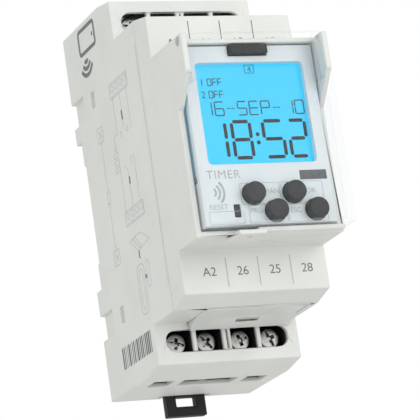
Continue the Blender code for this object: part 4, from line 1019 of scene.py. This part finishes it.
flankMarks = {
    "tablet": {"box": (7.3, 37.5, 17.9, 43.2), "line": 0.95, "corner": 0.8},
    "arcs": {"centre": (10.6, 36.4), "radii": (1.3, 2.9, 4.5), "line": 1.05},
    "blocks": ((16.0, 39.8, 16.8, 40.8), (27.7, 15.2, 28.4, 17.4), (27.0, -0.2, 27.7, 1.6),
               (26.6, -17.9, 27.2, -16.0), (28.7, -23.2, 29.6, -22.3)),
    "terminalRows": ((22.3, 21.6, 33.9, 25.1), (21.6, -9.0, 33.5, -5.6)),
    "lamps": {"tops": (17.8, -12.2), "left": 11.2, "right": 14.9, "tall": 3.6},
    "lines": (
        (0.13, ((23.7, 21.6), (23.7, 12.9))), (0.13, ((28.2, 21.6), (28.2, 12.6))),
        (0.13, ((32.6, 21.6), (32.6, 11.9))), (0.13, ((22.6, 4.4), (22.6, -5.6))),
        (0.13, ((27.2, 2.7), (27.2, -5.6))), (0.13, ((31.8, 5.5), (31.8, -5.6))),
        (0.13, ((23.7, 12.9), (21.4, 12.9), (21.4, 10.4))), (0.13, ((27.2, 2.7), (25.7, 4.9))),
        (0.13, ((31.8, 5.5), (29.9, 5.5), (29.9, 3.6))), (0.14, ((41.5, 29.0), (41.5, -28.0))),
        (0.14, ((13.0, 14.2), (13.0, 2.0))), (0.14, ((12.8, -0.9), (12.8, -12.2)))),
    "sheet": ((21.9, -12.7), (29.0, -12.2), (34.3, -15.0), (26.8, -16.0)),
    "sheetFolds": (0.28, 0.5),
    "rings": ((21.4, 9.9), (26.0, 12.2), (30.3, 12.2)),
    "frames": ((19.9, 7.8, 22.6, 8.9, 0.12, 0.2), (19.9, 6.1, 22.6, 7.2, 0.12, 0.2),
               (19.9, 4.4, 22.6, 5.5, 0.12, 0.2), (12.1, -0.9, 13.8, 2.0, 0.14, 0.3),
               (23.9, -30.8, 28.4, -19.2, 0.15, 1.6), (25.1, -29.6, 27.2, -20.4, 0.12, 0.9),
               (29.9, -25.6, 31.8, -19.3, 0.12, 0.7)),
    "pin": {"at": (66.0, 21.0), "radius": 0.95},
    "code": {"count": 18, "pitch": 1.07 * mm, "height": 5.1 * mm, "y": -8.4 * mm, "z": -37.3 * mm,
             "thin": 0.20 * mm, "thick": 0.80 * mm, "seed": 7},
}


def terminalRowShapes(left, bottom, right, top):
    # Four screw heads in a box, each with a line under it and a wall beside it.
    shapes = frameShapes(left, bottom, right, top, 0.14, 0.2)
    for index in range(4):
        x = left + (index + 0.5) * (right - left) / 4
        shapes += strokeShapes(arcPoints((x, (bottom + top) / 2 + 0.5), 0.8, 0, 340, 17), 0.12)
        shapes += strokeShapes([(x - 0.8, bottom + 0.35), (x + 0.8, bottom + 0.35)], 0.12)
        shapes += strokeShapes([(x + 1.2, bottom + 0.3), (x + 1.2, top - 0.3)], 0.1)
    return shapes


def lampShapes(left, right, top, tall):
    # A crossed box.
    inLeft, inRight, high, deep = left + 0.7, right - 0.7, top - 0.7, top - 2.9
    return (frameShapes(left, top - tall, right, top, 0.16, 0.3)
            + strokeShapes([(inLeft, high), (inRight, deep)], 0.14)
            + strokeShapes([(inRight, high), (inLeft, deep)], 0.14))


def makeSidePrint():
    # The left flank: a tablet with radio arcs, a wiring diagram in thin lines, and a striped code field.
    flank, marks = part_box("rear_housing")[0].x, flankMarks
    tablet, arcs, lamps, pin, code = (marks[key] for key in ("tablet", "arcs", "lamps", "pin", "code"))
    dark = frameShapes(*tablet["box"], tablet["line"], tablet["corner"])
    dark += [boxShape(*block) for block in marks["blocks"]]
    for radius in arcs["radii"]:
        dark += strokeShapes(arcPoints(arcs["centre"], radius, 216, 324, 14), arcs["line"])
    thin = strokeShapes(marks["sheet"], 0.14, closed=True)
    for row in marks["terminalRows"]:
        thin += terminalRowShapes(*row)
    for top in lamps["tops"]:
        thin += lampShapes(lamps["left"], lamps["right"], top, lamps["tall"])
    for width, points in marks["lines"]:
        thin += strokeShapes(points, width)
    for place in marks["rings"]:
        thin += strokeShapes(arcPoints(place, 0.55, 0, 340, 17), 0.13)
    for plan in marks["frames"]:
        thin += frameShapes(*plan)
    for share in marks["sheetFolds"]:
        thin += strokeShapes([(21.9 + 7.1 * share, -12.7 + 0.5 * share),
                              (26.8 + 5.0 * share, -16.0 + 0.6 * share)], 0.12)
    pinEnd = [arcPoints(pin["at"], pin["radius"], 0, 345, 23)]
    layPrint("pinEndShade", pinEnd, "left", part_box("front_housing")[0].x, "housing", inkPale)
    layPrint("flankSymbols", dark, "left", flank, "housing", inkGrey)
    layPrint("flankDiagram", thin, "left", flank, "housing", inkPale)
    stripes = meshFromTree(buildStripeTree(), "codeStripes", {
        "Count": code["count"], "Pitch": code["pitch"], "Height": code["height"], "Thin": code["thin"],
        "Thick": code["thick"], "Seed": code["seed"], "Finish": inkDark})
    across, up = faces["left"]
    lay = Matrix((across, up, across.cross(up))).transposed().to_4x4()
    stripes.transform(Matrix.Translation((flank - inkLift, code["y"], code["z"])) @ lay)
    showPiece("codeStripes", stripes, "housing", inkDark)


makeDisplayPrint()
makePanelPrint()
makeTerminalPrint()
makeSidePrint()
print("prints laid")
